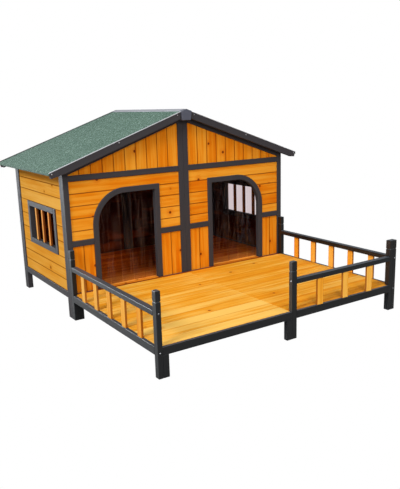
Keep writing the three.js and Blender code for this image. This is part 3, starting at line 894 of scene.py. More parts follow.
def pitched(start: float, end: float, pitch: float) -> list[Span]:
    """Boards of one pitch laid from a start; the last one is cut to fit.

    Args:
        start: where the first board starts.
        end: where the last board ends.
        pitch: width of a board.

    Returns:
        The limits of each board.
    """
    count = max(1, round(abs(end - start) / pitch))
    edges = start + math.copysign(pitch, end - start) * np.arange(count + 1)
    edges[-1] = end
    return between(np.sort(edges))


def slats(span: Span, count: int, width: float) -> list[Span]:
    """Slats of one width spread over a span with equal gaps.

    Args:
        span: the limits between which they stand.
        count: how many there are.
        width: width of a slat.

    Returns:
        The limits of each slat.
    """
    gap = (span[1] - span[0] - count * width) / (count + 1)
    starts = span[0] + gap + np.arange(count) * (gap + width)
    return [(float(s), float(s + width)) for s in starts]


# The roof's angle, and how far the pieces of one half stay from the centre line.
SLOPE_ANGLE = math.atan(ROOF.slope)
SEAM = 0.0002


# ---------------------------------------------------------------- walls


class EndWall:
    """The members and boards that the front and the rear wall share."""

    def __init__(self, y: Span, outward: int, seed: int) -> None:
        """Places the wall.

        Args:
            y: limits of the frame's depth.
            outward: -1 if the wall faces -Y, 1 if it faces +Y.
            seed: seed of the boards' tones.
        """
        self.y = y
        face = y[0] if outward < 0 else y[1]
        near, far = face - outward * HOUSE.recess, face - outward * (HOUSE.recess + HOUSE.board)
        self.board_y = (min(near, far), max(near, far))
        self.seed = seed
        self.indoors = (0.0, -float(outward), 0.0)
        self.stile_y = y if outward < 0 else (y[0], self.board_y[0])

    def frame(self, timber: Timber, side: Side) -> None:
        """Adds corner post, bottom rail, centre stile, tie rail and rake rail of one half.

        Args:
            timber: takes the pieces.
            side: which half they are on.
        """
        inner, half, y = HOUSE.inner, HOUSE.half_width, self.y
        post = [(inner, 0.0), (half, 0.0), (half, ROOF.rake_under(half)), (inner, ROOF.rake_under(inner))]
        timber.prism(side.mirror(post), Axis.Y, *y, Axis.Z)
        rake = side.mirror([(HOUSE.stile, ROOF.rake_under(HOUSE.stile)), (half, ROOF.rake_under(half)),
                            (half, ROOF.rake_top(half)), (HOUSE.stile, ROOF.rake_top(HOUSE.stile))])
        timber.prism(rake, Axis.Y, *y, -side.value * SLOPE_ANGLE)
        self.foot_rail(timber, side)
        timber.box(side.span(SEAM, HOUSE.stile), self.stile_y, (HOUSE.floor, ROOF.beam_bottom), Axis.Z)
        timber.box(side.span(HOUSE.stile, inner), y, HOUSE.tie, Axis.X)

    def foot_rail(self, timber: Timber, side: Side) -> None:
        """Adds the bottom rail of one half."""
        timber.box(side.span(SEAM, HOUSE.inner), self.y, (HOUSE.base, HOUSE.floor), Axis.X)

    def gable(self, timber: Timber, side: Side) -> None:
        """Adds the upright boards over the tie rail, each cut to the slope.

        Args:
            timber: takes the pieces.
            side: which half they are on.
        """
        for xa, xb in pitched(HOUSE.stile, HOUSE.inner, HOUSE.upright):
            foot = HOUSE.tie[1]
            cut = [(xa, foot), (xb, foot), (xb, ROOF.rake_under(xb)), (xa, ROOF.rake_under(xa))]
            timber.prism(side.mirror(cut), Axis.Y, *self.board_y, Axis.Z)


class FrontWall(EndWall):
    """The wall with the two doorways."""

    def __init__(self) -> None:
        """Places the wall behind the porch."""
        super().__init__((HOUSE.wall_front, HOUSE.wall_front + HOUSE.wall_depth), -1, 11)

    def foot_rail(self, timber: Timber, side: Side) -> None:
        """Adds the bottom rail of one half, whose part under the doorway is left unpainted.

        Args:
            timber: takes the pieces.
            side: which half they are on.
        """
        height = (HOUSE.base, HOUSE.floor)
        timber.box(side.span(SEAM, DOOR.near), self.y, height, Axis.X)
        timber.box(side.span(DOOR.far, HOUSE.inner), self.y, height, Axis.X)
        sill = Timber(f"sill_{side.label}", BARE_PINE, self.seed + 6 + side.value, depth=0.3)
        sill.box(side.span(DOOR.near, DOOR.far), self.y, height, Axis.X)
        sill.build(Arris.BOARD)

    def planks(self, timber: Timber, side: Side) -> None:
        """Adds the horizontal planks beside and over the doorway.

        A plank that meets the rounded corner is cut along it, so its outline takes the corner's
        points between the plank's own two heights.

        Args:
            timber: takes the pieces.
            side: which half they are on.
        """
        inner, far, near, top = HOUSE.inner, DOOR.far, DOOR.near, DOOR.top
        spring = top - DOOR.radius
        for z0, z1 in pitched(HOUSE.tie[0], HOUSE.mid[1], HOUSE.plank):
            if z0 >= top:
                timber.box(side.span(HOUSE.stile, inner), self.board_y, (z0, z1), Axis.X)
                continue
            head = min(z1, top)
            foot = [(far, z0)] if z0 < spring else []
            curve = DOOR.arc(DOOR.radius, max(z0, spring), head) if head > spring else []
            if z1 > top:
                around = [(inner, z0), *foot, *curve, (near, top), (near, z0), (HOUSE.stile, z0),
                          (HOUSE.stile, z1), (inner, z1)]
                timber.prism(side.mirror(around), Axis.Y, *self.board_y, Axis.X)
                continue
            crown = [(far, z1)] if head <= spring else []
            outer = [(inner, z0), *foot, *curve, *crown, (inner, z1)]
            timber.prism(side.mirror(outer), Axis.Y, *self.board_y, Axis.X)
            timber.box(side.span(HOUSE.stile, near), self.board_y, (z0, z1), Axis.X)

    def build(self) -> None:
        """Builds both halves."""
        for side in Side:
            name, seed = side.label, self.seed + 10 * side.value
            framing = Timber(f"front_framing_{name}", CHARCOAL, seed)
            self.frame(framing, side)
            framing.box(side.span(HOUSE.stile, DOOR.near), self.y, HOUSE.mid, Axis.X)
            framing.box(side.span(DOOR.far, HOUSE.inner), self.y, HOUSE.mid, Axis.X)
            framing.build(Arris.FRAME, f"front_frame_{name}")
            planks = Timber(f"planks_{name}", FRONT_PINE, seed + 1, self.indoors,
                            depth=0.22 * side.value)
            self.planks(planks, side)
            planks.build(Arris.BOARD, f"front_planks_{name}")
            gable = Timber(f"gable_boards_{name}", FRONT_PINE, seed + 2, self.indoors, depth=0.15)
            self.gable(gable, side)
            gable.build(Arris.BOARD, f"front_gable_boards_{name}")
            for where, span in (("inner", (HOUSE.stile, DOOR.near)), ("outer", (DOOR.far, HOUSE.inner))):
                lower = Timber(f"lower_boards_{name}_{where}", FRONT_PINE, seed + 3, self.indoors, depth=0.55)
                for xa, xb in spread(span, 2):
                    lower.box(side.span(xa, xb), self.board_y, (HOUSE.floor, HOUSE.mid[0]), Axis.Z)
                lower.build(Arris.BOARD, f"front_lower_boards_{name}_{where}")


class RearWall(EndWall):
    """The hidden rear wall: planks under the tie rail, upright boards over it."""

    def __init__(self) -> None:
        """Places the wall at the back."""
        super().__init__((HOUSE.wall_rear - HOUSE.wall_depth, HOUSE.wall_rear), 1, 41)

    def build(self) -> None:
        """Builds the whole wall."""
        framing = Timber("rear_framing", CHARCOAL, self.seed)
        planks = Timber("rear_wall_planks", SIDE_PINE, self.seed + 1, self.indoors)
        gable = Timber("rear_wall_gable", SIDE_PINE, self.seed + 2, self.indoors)
        for side in Side:
            self.frame(framing, side)
            self.gable(gable, side)
            foot, peak = HOUSE.tie[1], ROOF.beam_bottom
            gable.box(side.span(HOUSE.gap / 2, HOUSE.stile - HOUSE.gap), self.board_y, (foot, peak), Axis.Z)
        for z0, z1 in pitched(HOUSE.tie[0], HOUSE.floor, HOUSE.plank):
            planks.box((-HOUSE.inner, HOUSE.inner), self.board_y, (z0, z1), Axis.X)
        framing.build(Arris.FRAME, "rear_frame")
        planks.build(Arris.BOARD, "rear_planks")
        gable.build(Arris.BOARD, "rear_gable_boards")


@dataclass(frozen=True)
class WindowSizes:
    """One side window."""

    y: Span = (0.181, 0.598)
    z: Span = (0.301, 0.534)
    member: float = 0.028
    bars: int = 3
    bar_width: float = 0.020
    bar_depth: float = 0.012
    bar_recess: float = 0.004


class SideWall:
    """A side wall with its barred window."""

    def __init__(self, side: Side, window: WindowSizes = WindowSizes()) -> None:
        """Places the wall.

        Args:
            side: which half it closes.
            window: its window's sizes.
        """
        self.side = side
        self.window = window
        self.y = (HOUSE.wall_front + HOUSE.wall_depth, HOUSE.wall_rear - HOUSE.wall_depth)
        self.clear = (self.y[0] + HOUSE.side_stile, self.y[1] - HOUSE.side_stile)
        self.top = ROOF.board_under(HOUSE.half_width) - ROOF.clearance

    def build(self) -> None:
        """Builds frame, boards, window frame and bars."""
        side, name, window = self.side, self.side.label, self.window
        depth = side.span(HOUSE.inner, HOUSE.half_width)
        framing = Timber(f"side_framing_{name}", CHARCOAL, 60 + side.value)
        framing.box(depth, (self.y[0], self.clear[0]), (0.0, self.top), Axis.Z)
        framing.box(depth, (self.clear[1], self.y[1]), (0.0, self.top), Axis.Z)
        foot, head = HOUSE.base + HOUSE.side_foot_rail, self.top - HOUSE.side_head_rail
        framing.box(depth, self.clear, (HOUSE.base, foot), Axis.Y)
        framing.box(depth, self.clear, (head, self.top), Axis.Y)
        framing.build(Arris.FRAME, f"side_wall_frame_{name}")
        face = HOUSE.half_width - HOUSE.recess
        layer = side.span(face - HOUSE.board, face)
        boards = Timber(f"side_boards_{name}", SIDE_PINE, 70 + side.value, (-float(side.value), 0.0, 0.0))
        bands = ((foot, window.z[0]), window.z, (window.z[1], head))
        for band, span in enumerate(bands):
            runs = [self.clear] if band != 1 else [(self.clear[0], window.y[0]), (window.y[1], self.clear[1])]
            for z0, z1 in spread(span, 3):
                for run in runs:
                    boards.box(layer, run, (z0, z1), Axis.Y)
        boards.build(Arris.BOARD, f"side_wall_boards_{name}")
        (ya, yb), (za, zb), m = window.y, window.z, window.member
        surround = Timber(f"window_surround_{name}", CHARCOAL, 80 + side.value)
        surround.box(depth, (ya, ya + m), (za, zb), Axis.Z)
        surround.box(depth, (yb - m, yb), (za, zb), Axis.Z)
        surround.box(depth, (ya + m, yb - m), (za, za + m), Axis.Y)
        surround.box(depth, (ya + m, yb - m), (zb - m, zb), Axis.Y)
        surround.build(Arris.FRAME, f"window_frame_{name}")
        outer = HOUSE.half_width - window.bar_recess
        for index, span in enumerate(slats((ya + m, yb - m), window.bars, window.bar_width), 1):
            bar = Timber(f"bar_{name}_{index}", BAR_PINE, 90 + 4 * side.value + index)
            bar.box(side.span(outer - window.bar_depth, outer), span, (za + m, zb - m), Axis.Z)
            bar.build(Arris.BAR, f"window_bar_{name}_{index}")


@dataclass(frozen=True)
class StripSizes:
    """The curtain's strips. Bow, ripple and twist are the lowest and highest by which a strip is unflat."""

    count: int = 5
    sheet: float = 0.0012
    lowered: float = 0.0004
    bow: Span = (-0.0012, 0.0022)
    ripple: Span = (0.0008, 0.0022)
    twist: Span = (-0.0025, 0.0025)
    columns: int = 81
    rows: int = 61
    folds: int = 4
    fold_width: float = 0.04
    fold_height: float = 0.14


class Doorway:
    """A doorway's frame and its curtain of clear strips."""

    def __init__(self, side: Side, strips: StripSizes = StripSizes()) -> None:
        """Places the doorway.

        Args:
            side: which half of the front it is on.
            strips: its strips' sizes.
        """
        self.side = side
        self.strips = strips
        self.y = (HOUSE.wall_front, HOUSE.wall_front + HOUSE.wall_depth)

    def build(self) -> None:
        """Builds the frame, the batten and the strips."""
        side, name = self.side, self.side.label
        m, base = DOOR.member, HOUSE.floor
        near, far, top = DOOR.near, DOOR.far, DOOR.top
        outer = [(near, base), (near, top), *DOOR.arc(DOOR.radius)[::-1], (far, base)]
        inner = [(far - m, base), *DOOR.arc(DOOR.radius - m), (near + m, top - m), (near + m, base)]
        surround = Timber(f"door_surround_{name}", CHARCOAL, 100 + side.value)
        surround.prism(side.mirror(outer + inner), Axis.Y, *self.y, Axis.Z)
        surround.build(Arris.STOUT, f"door_frame_{name}")
        low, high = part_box(f"curtain_batten_{name}")
        batten = Timber(f"batten_{name}", CHARCOAL, 104 + side.value)
        batten.box((low.x, high.x), (low.y, high.y), (low.z, high.z), Axis.X)
        batten.build(Arris.FRAME, f"curtain_batten_{name}")
        for index in range(1, self.strips.count + 1):
            self.strip(f"curtain_strip_{name}_{index}", index)

    def strip(self, node: str, index: int) -> None:
        """Hangs one strip: a flat sheet that bows a little across and ripples towards its foot.

        Its depth is y0 + b (1 - u^2) s + r s^2 sin(6 s + p) + t u s^1.5, with u from -1 to 1 across,
        s from 0 at the top to 1 at the foot, and b, r, p and t different for each strip. The
        attribute cloud, half of sin(5.1 s + 2.3 u + p) + sin(9.7 s - 1.9 u + 2.1 p), is where the
        sheet is milky, and rim is |u|.
        The attribute crease sums the fold marks, exp(-((u - c(s)) / w)^2 - ((s - m) / h)^2), each on
        a wandering line c(s) = a + 0.3 sin(7 s + q) and about its own height m.

        Args:
            node: the CAD node that it stands for, which is also its body.
            index: its number in its doorway.
        """
        sizes = self.strips
        low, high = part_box(node)
        random = np.random.default_rng(200 + index + 7 * self.side.value)
        across, down = np.meshgrid(np.linspace(-1.0, 1.0, sizes.columns), np.linspace(0.0, 1.0, sizes.rows))
        bow, ripple = random.uniform(*sizes.bow), random.uniform(*sizes.ripple)
        phase, twist = random.uniform(0, 6.28), random.uniform(*sizes.twist)
        middle = (low.y + high.y) / 2
        y = middle + bow * (1 - across**2) * down + ripple * down**2 * np.sin(6 * down + phase)
        y = y + twist * across * down**1.5
        x = (low.x + high.x) / 2 + across * (high.x - low.x) / 2
        z = high.z - sizes.lowered - down * (high.z - low.z - sizes.lowered)
        wave = np.sin(5.1 * down + 2.3 * across + phase) + np.sin(9.7 * down - 1.9 * across + 2.1 * phase)
        crease = np.zeros_like(across)
        for start, height, lean in random.uniform((-0.9, 0.05, 0.0), (0.9, 0.95, 6.28), (sizes.folds, 3)):
            path = start + 0.3 * np.sin(7 * down + lean)
            crease += np.exp(-(((across - path) / sizes.fold_width) ** 2)
                             - ((down - height) / sizes.fold_height) ** 2)
        mesh = surface_mesh(node + "_sheet", np.stack([x, y, z], axis=-1))
        for name, values in (("rim", np.abs(across)), ("cloud", 0.5 * wave), ("crease", crease)):
            store(mesh, name, np.clip(values, 0.0, 1.0).ravel())
        dress(thick(mesh, sizes.sheet, 0.0), VINYL, node, (node,))


@dataclass(frozen=True)
class HouseFloor:
    """The boards inside the house and their joists, with painted light near the doorways and painted shade
    towards the rear.
    """

    boards: int = 10
    joist: float = 0.028
    joist_at: float = 0.632
    # Board tones given at some rows: pale near the doorways as painted light, deep at the rear as painted
    # shade.
    painted_shade_rows: tuple[float, ...] = (0.0, 1.0, 4.0, 6.0)
    tones: tuple[float, ...] = (-0.35, -0.15, 0.60, 0.80)

    def build(self) -> None:
        """Builds boards across the house over three joists, with painted light near the doorways and painted
        shade towards the rear.
        """
        low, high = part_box("floor_panel")
        floor = Timber("house_floor", FLOOR_PINE, 120)
        under = HOUSE.floor - HOUSE.board
        tones = np.interp(np.arange(self.boards), self.painted_shade_rows, self.tones)
        for tone, (ya, yb) in zip(tones, spread((low.y, high.y), self.boards)):
            outline = [(low.x, ya), (high.x, ya), (high.x, yb), (low.x, yb)]
            floor.prism(outline, Axis.Z, under, HOUSE.floor, Axis.X, float(tone))
        for centre in (-self.joist_at, 0.0, self.joist_at):
            limits = (centre - self.joist / 2, centre + self.joist / 2)
            floor.box(limits, (low.y, high.y), (low.z, under), Axis.Y)
        floor.build(Arris.BOARD, "floor_panel")


# ---------------------------------------------------------------- roof


@dataclass(frozen=True)
class FeltSheet:
    """The felt as a waved sheet: its sizes, and its points along the slope, round the eave and along it."""

    thickness: float = 0.0016
    inset: float = 0.0012
    settle: float = 0.0004
    wave: float = 0.0003
    bulge: float = 0.0016
    lip: float = 0.0008
    turn: float = 0.0122
    down_slope: int = 90
    round_eave: int = 7
    along_eave: int = 120


class Roof:
    """Boarding, felt, ridge and bargeboards."""

    def __init__(self, sheet: FeltSheet = FeltSheet()) -> None:
        """Keeps the felt's sizes."""
        self.sheet = sheet

    def band(self, side: Side, near: float, far: float, top: Callable[[float], float],
             under: Callable[[float], float]) -> Outline:
        """The outline of a layer that follows the slope between two distances from the centre."""
        return side.mirror([(near, under(near)), (far, under(far)), (far, top(far)), (near, top(near))])

    def boarding(self, side: Side) -> None:
        """Builds the boards under the felt, laid along the ridge, and their battens.

        Args:
            side: which half it is on.
        """
        angle = -side.value * SLOPE_ANGLE
        ends = (ROOF.barge_front_back, ROOF.barge_rear_front)
        under = Timber(f"roof_boarding_{side.label}", BARE_PINE, 130 + side.value)
        battens = Timber(f"roof_battens_{side.label}", CHARCOAL, 134 + side.value)
        for xa, xb in spread((SEAM, ROOF.half), ROOF.boards):
            under.prism(self.band(side, xa, xb, ROOF.board_top, ROOF.board_under), Axis.Y, *ends, Axis.Y)
        reach = (HOUSE.stile + ROOF.clearance, ROOF.half - ROOF.batten_setback)
        for span in ((ends[0], HOUSE.wall_front), (HOUSE.wall_rear, ends[1])):
            battens.prism(self.band(side, *reach, ROOF.board_under, ROOF.batten_under), Axis.Y, *span, angle)
        battens.build(Arris.BOARD)
        inside = (HOUSE.wall_front + HOUSE.wall_depth, HOUSE.wall_rear - HOUSE.wall_depth)
        purlin = self.band(side, *ROOF.purlin, ROOF.board_under, ROOF.batten_under)
        under.prism(purlin, Axis.Y, *inside, Axis.Y)
        under.build(Arris.BOARD, f"roof_panel_{side.label}")

    def felt(self, side: Side) -> None:
        """Lays the felt: a sheet over the boarding that turns down over the eave.

        Its section falls with the slope from the ridge to the eave and then turns down along a
        quarter sine. Its height waves by w sin(23 y + 9 x) + w sin(41 x - 13 y).

        Args:
            side: which half it is on.
        """
        sheet = self.sheet
        slope = np.linspace(SEAM, ROOF.half, sheet.down_slope)
        turn = np.linspace(0.0, 1.0, sheet.round_eave)[1:]
        x = np.concatenate([slope, ROOF.half + sheet.bulge * np.sin(turn * math.pi / 2)])
        drop = np.concatenate([np.zeros_like(slope), sheet.lip + sheet.turn * turn])
        y = np.linspace(ROOF.barge_front + sheet.inset, ROOF.barge_rear - sheet.inset, sheet.along_eave)
        along, across = np.meshgrid(y, x, indexing="ij")
        wave = sheet.wave * (np.sin(23 * along + 9 * across) + np.sin(41 * across - 13 * along))
        fall = ROOF.slope * np.minimum(across, ROOF.half) + drop[None, :]
        z = ROOF.top(0.0) - fall + wave - sheet.settle
        points = np.stack([side.value * across, along, z], axis=-1)
        if side is Side.LEFT:
            points = points[:, ::-1]
        made = thick(surface_mesh(f"felt_{side.label}", points), sheet.thickness, -1.0)
        dress(made, FELT, "house", (f"roof_felt_{side.label}",))

    def tail(self, side: Side, near: float) -> Outline:
        """Outline of a bargeboard whose lower end narrows and is cut square to the slope.

        Args:
            side: which slope it follows.
            near: distance of its upper end from the centre line.

        Returns:
            The outline in X and Z.
        """
        lean = ROOF.barge_tail * ROOF.slope * ROOF.cosine ** 2
        marks = ((near, ROOF.barge), (ROOF.half - ROOF.taper, ROOF.barge),
                 (ROOF.half - lean, ROOF.barge_tail), (ROOF.half, 0.0), (near, 0.0))
        return side.mirror([(x, ROOF.board_top(x) - depth) for x, depth in marks])

    def bargeboards(self, side: Side) -> None:
        """Builds the bargeboards at both ends of a slope, and the thin metal trims on its felt; the front
        trim's pale grey is a painted highlight.

        Args:
            side: which half it is on.
        """
        angle = -side.value * SLOPE_ANGLE
        near = ROOF.barge_start
        ends = (("front", (ROOF.barge_front, ROOF.barge_front_back)),
                ("rear", (ROOF.barge_rear_front, ROOF.barge_rear)))
        for label, span in ends:
            board = Timber(f"barge_{label}_{side.label}", CHARCOAL, 140 + side.value + len(label))
            board.prism(self.tail(side, near), Axis.Y, *span, angle)
            board.build(Arris.BARGEBOARD, f"bargeboard_{label}_{side.label}")
        # The front trim's pale grey paints the highlight along the front edge; the rear one is charcoal.
        trims = (("front", TRIM_PAINTED_HIGHLIGHT, ROOF.barge_front - ROOF.trim_proud, ROOF.trim_front_rise),
                 ("rear", CHARCOAL, ROOF.barge_rear - ROOF.trim_back, ROOF.trim_rear_rise))
        for label, finish, edge, rise in trims:
            trim = Timber(f"edge_trim_{label}_{side.label}", finish, 150 + side.value)
            outline = self.band(side, near, ROOF.half + ROOF.trim_overhang, lambda x: ROOF.top(x) + rise,
                                lambda x: ROOF.top(x) - ROOF.trim_depth)
            trim.prism(outline, Axis.Y, edge, edge + ROOF.trim, angle)
            trim.build(Arris.TRIM)

    def ridge(self) -> None:
        """Builds the beam, its two end blocks and the metal cap."""
        half, bottom = HOUSE.stile, ROOF.beam_bottom
        beam = Timber("ridge_timber", CHARCOAL, 160)
        top = ROOF.rake_top
        outline = [(-half, bottom), (half, bottom), (half, top(half)), (0.0, top(0.0)), (-half, top(half))]
        beam.prism(outline, Axis.Y, ROOF.barge_front_back, ROOF.barge_rear_front, Axis.Y)
        foot, wide = ROOF.block_bottom, ROOF.block_top
        shoulder = ROOF.cap_top(wide)
        block = [(-foot, bottom), (foot, bottom), (wide, shoulder), (0.0, ROOF.ridge), (-wide, shoulder)]
        beam.build(Arris.BEAM, "ridge_beam")
        blocks = Timber("ridge_blocks", BLOCK_PAINT, 162)
        for span in ((ROOF.barge_front - ROOF.block_proud, ROOF.barge_front_back),
                     (ROOF.barge_rear_front, ROOF.barge_rear + ROOF.block_proud)):
            blocks.prism(block, Axis.Y, *span, Axis.Z)
        blocks.build(Arris.STOUT)
        cap = Timber("ridge_capping", RIDGE_METAL, 161)
        reach, upper, lower = ROOF.cap_reach, ROOF.cap_top, ROOF.cap_under
        profile = [(-reach, lower(reach)), (0.0, lower(0.0)), (reach, lower(reach)),
                   (reach, upper(reach)), (0.0, upper(0.0)), (-reach, upper(reach))]
        cap.prism(profile, Axis.Y, ROOF.barge_front_back, ROOF.barge_rear_front, Axis.Y)
        cap.build(Arris.CAP, "ridge_cap")

    def build(self) -> None:
        """Builds the whole roof."""
        for side in Side:
            self.boarding(side)
            self.felt(side)
            self.bargeboards(side)
        self.ridge()


# ---------------------------------------------------------------- porch


@dataclass(frozen=True)
class PorchSizes:
    """The platform and its railings, how deep the shades of its boards are, and the painted light and shade
    on the front rows.
    """

    rim_bottom: float = 0.093
    rim: float = 0.015
    ledger: float = 0.013
    boards: int = 12
    joist: float = 0.022
    leg: float = 0.027
    post_x: float = 0.022
    post_y: float = 0.028
    post_top: float = 0.352
    middle_x: float = 0.028
    middle_y: float = 0.022
    rail: Span = (0.250, 0.272)
    rail_depth: float = 0.028
    slat: float = 0.036
    slat_depth: float = 0.010
    slat_inset: float = 0.002
    cut_below_top: float = 0.043
    cut: float = 0.0022
    cut_depth: float = 0.0018
    cut_overlap: float = 0.001
    board_start: float = 0.0005
    post_gap: float = 0.0003
    side_slats: int = 5
    front_slats: int = 3
    tone_seed: int = 3
    tones: Span = (0.05, 0.55)
    pale_row: int = 2
    pale_left: float = -0.75
    pale_right: float = 0.05
    # Painted light and shade: the front rows are paler on the left half and deeper on the right half.
    painted_light_slant: float = 0.30
    slant_rows: int = 3
    half_shift: Span = (0.02, 0.14)


class Porch:
    """The platform in two halves, and the three railings."""

    def __init__(self, sizes: PorchSizes = PorchSizes()) -> None:
        """Works out the places that the pieces share.

        Args:
            sizes: the porch's sizes.
        """
        self.s = sizes
        self.front = HOUSE.porch_front
        self.rear = HOUSE.wall_front
        self.run = (self.front + sizes.post_y, self.rear - sizes.post_y)
        self.post_edge = HOUSE.half_width - sizes.post_x
        self.right_edge = HOUSE.half_width - 2 * sizes.post_x
        self.deck_edge = HOUSE.half_width - sizes.rim
        self.front_rim = (self.front, self.front + sizes.rim)
        self.rear_rim = (self.rear - sizes.rim, self.rear)
        self.under = HOUSE.floor - HOUSE.board

    def corner(self, side: Side) -> float:
        """How far from the centre line the front rim ends, at one front post or two side by side."""
        return self.post_edge if side is Side.LEFT else self.right_edge

    def rims(self, side: Side) -> None:
        """Builds rims, ledger, joists and feet of one half.

        Args:
            side: which half they are on.
        """
        s, left, half, under = self.s, side is Side.LEFT, HOUSE.half_width, self.under
        rims = Timber(f"platform_frame_{side.label}", PORCH_PAINT, 170 + side.value)

        def beam(xa: float, xb: float, y: Span, top: float, grain: Axis) -> None:
            """Adds one beam that stands on the rims' lower edge."""
            rims.box(side.span(xa, xb), y, (s.rim_bottom, top), grain)

        def foot(xa: float, xb: float, y: Span) -> None:
            """Adds one foot, from the ground to the rims."""
            rims.box(side.span(xa, xb), y, (0.0, s.rim_bottom), Axis.Z)

        beam(SEAM if left else s.middle_x, self.corner(side), self.front_rim, HOUSE.floor, Axis.X)
        # Painted shadow: the rear rim is deep unpainted pine that stands for the shaded gap between the deck
        # and the house.
        rear = Timber(f"platform_rear_rim_{side.label}", FLOOR_PINE, 176 + side.value, depth=0.8)
        rear.box(side.span(SEAM, self.post_edge), self.rear_rim, (s.rim_bottom, HOUSE.floor), Axis.X)
        rear.build(Arris.FRAME)
        beam(self.deck_edge, half, self.run, HOUSE.floor, Axis.Y)
        beam(self.deck_edge - s.ledger, self.deck_edge, self.run, under, Axis.Y)
        inner = self.deck_edge - s.ledger
        beam(SEAM, inner, (self.run[0], self.run[0] + s.joist), under, Axis.X)
        beam(SEAM, inner, (self.run[1] - s.joist, self.run[1]), under, Axis.X)
        joist_y = (self.run[0] + s.joist, self.run[1] - s.joist)
        beam(SEAM, s.joist, joist_y, under, Axis.Y)
        beam(half / 2 - s.joist / 2, half / 2 + s.joist / 2, joist_y, under, Axis.Y)
        back = (self.rear - s.post_y, self.rear)
        foot(self.post_edge - s.leg, self.post_edge, back)
        foot(SEAM, s.middle_x, back)
        if left:
            foot(self.post_edge - s.leg, self.post_edge, (self.front, self.front + s.post_y))
            foot(SEAM, s.middle_x, (self.front, self.front + s.middle_y))
        rims.build(Arris.FRAME, f"deck_frame_{side.label}")

    def boards(self, side: Side) -> None:
        """Lays the boards of one half, the first and the last cut round the posts.

        Args:
            side: which half they are on.
        """
        s, left = self.s, side is Side.LEFT
        boards = Timber(f"platform_boards_{side.label}", DECK_PINE, 180 + side.value)
        near, edge, corner = s.board_start, self.deck_edge, self.corner(side)
        rows = spread((self.front_rim[1], self.rear_rim[0]), s.boards)
        tones = np.random.default_rng(s.tone_seed).uniform(*s.tones, s.boards)
        tones[s.pale_row] = s.pale_left if left else s.pale_right
        for row, (ya, yb) in enumerate(rows):
            outline = [(near, ya), (edge, ya)]
            if row == 0:
                outline = [(near, ya), (corner, ya), (corner, self.run[0]), (edge, self.run[0])]
                if not left:
                    behind = self.front + s.middle_y
                    outline = [(near, behind), (s.middle_x, behind), (s.middle_x, ya), *outline[1:]]
            outline.append((edge, yb))
            if row == s.boards - 1:
                outline[-1:] = [(edge, self.run[1]), (self.post_edge, self.run[1]), (self.post_edge, yb)]
            outline.append((near, yb))
            # The slant paints light on the left front rows and shade on the right ones; half_shift makes the
            # right half a little deeper in tone.
            shade_and_tone_shift = s.painted_light_slant * max(0.0, 1.0 - row / s.slant_rows) + boards.random.uniform(*s.half_shift)
            tone = float(tones[row] + side.value * shade_and_tone_shift)
            boards.prism(side.mirror(outline), Axis.Z, self.under, HOUSE.floor, Axis.X, tone)
        boards.build(Arris.BOARD, f"deck_boards_{side.label}")

    def post(self, timber: Timber, x: Span, y: Span) -> None:
        """Adds a rail post with a saw cut round it below its top.

        Args:
            timber: takes the post.
            x: its limits along X.
            y: its limits along Y.
        """
        cut = self.s.post_top - self.s.cut_below_top
        low, high, deep = cut - self.s.cut / 2, cut + self.s.cut / 2, self.s.cut_depth
        neck = [(min(limits) + deep, max(limits) - deep) for limits in (x, y)]
        timber.box(x, y, (0.0, low), Axis.Z)
        timber.box(*neck, (low - self.s.cut_overlap, high + self.s.cut_overlap), Axis.Z)
        timber.box(x, y, (high, self.s.post_top), Axis.Z)

    def side_railing(self, side: Side) -> None:
        """Builds the posts, rail and slats of one side.

        Args:
            side: which half it is on.
        """
        s, name, half = self.s, side.label, HOUSE.half_width
        framing = Timber(f"railing_{name}", PORCH_PAINT, 190 + side.value)
        self.post(framing, side.span(self.post_edge, half), (self.front, self.front + s.post_y))
        self.post(framing, side.span(self.post_edge, half), (self.rear - s.post_y, self.rear))
        framing.box(side.span(half - s.rail_depth, half), self.run, s.rail, Axis.Y)
        framing.build(Arris.RAIL, f"railing_frame_{name}")
        bars = Timber(f"slats_{name}", SLAT_PINE, 195 + side.value)
        depth = side.span(half - s.slat_inset - s.slat_depth, half - s.slat_inset)
        for ya, yb in slats(self.run, s.side_slats, s.slat):
            bars.box(depth, (ya, yb), (HOUSE.floor, s.rail[0]), Axis.Z)
        bars.build(Arris.SLAT, f"balusters_{name}")

    def front_railing(self) -> None:
        """Builds the posts, rail and slats of the closed half of the front."""
        s = self.s
        framing = Timber("railing_front", PORCH_PAINT, 199)
        self.post(framing, (0.0, s.middle_x), (self.front, self.front + s.middle_y))
        corner = (self.right_edge, self.post_edge - s.post_gap)
        self.post(framing, corner, (self.front, self.front + s.post_y))
        span = (s.middle_x, self.right_edge)
        framing.box(span, (self.front, self.front + s.rail_depth), s.rail, Axis.X)
        framing.build(Arris.RAIL, "railing_frame_front")
        bars = Timber("slats_front", SLAT_PINE, 204)
        depth = (self.front + s.slat_inset, self.front + s.slat_inset + s.slat_depth)
        for xa, xb in slats(span, s.front_slats, s.slat):
            bars.box((xa, xb), depth, (HOUSE.floor, s.rail[0]), Axis.Z)
        bars.build(Arris.SLAT, "balusters_front")

    def build(self) -> None:
        """Builds the whole porch."""
        for side in Side:
            self.rims(side)
            self.boards(side)
            self.side_railing(side)
        self.front_railing()


# ---------------------------------------------------------------- screws


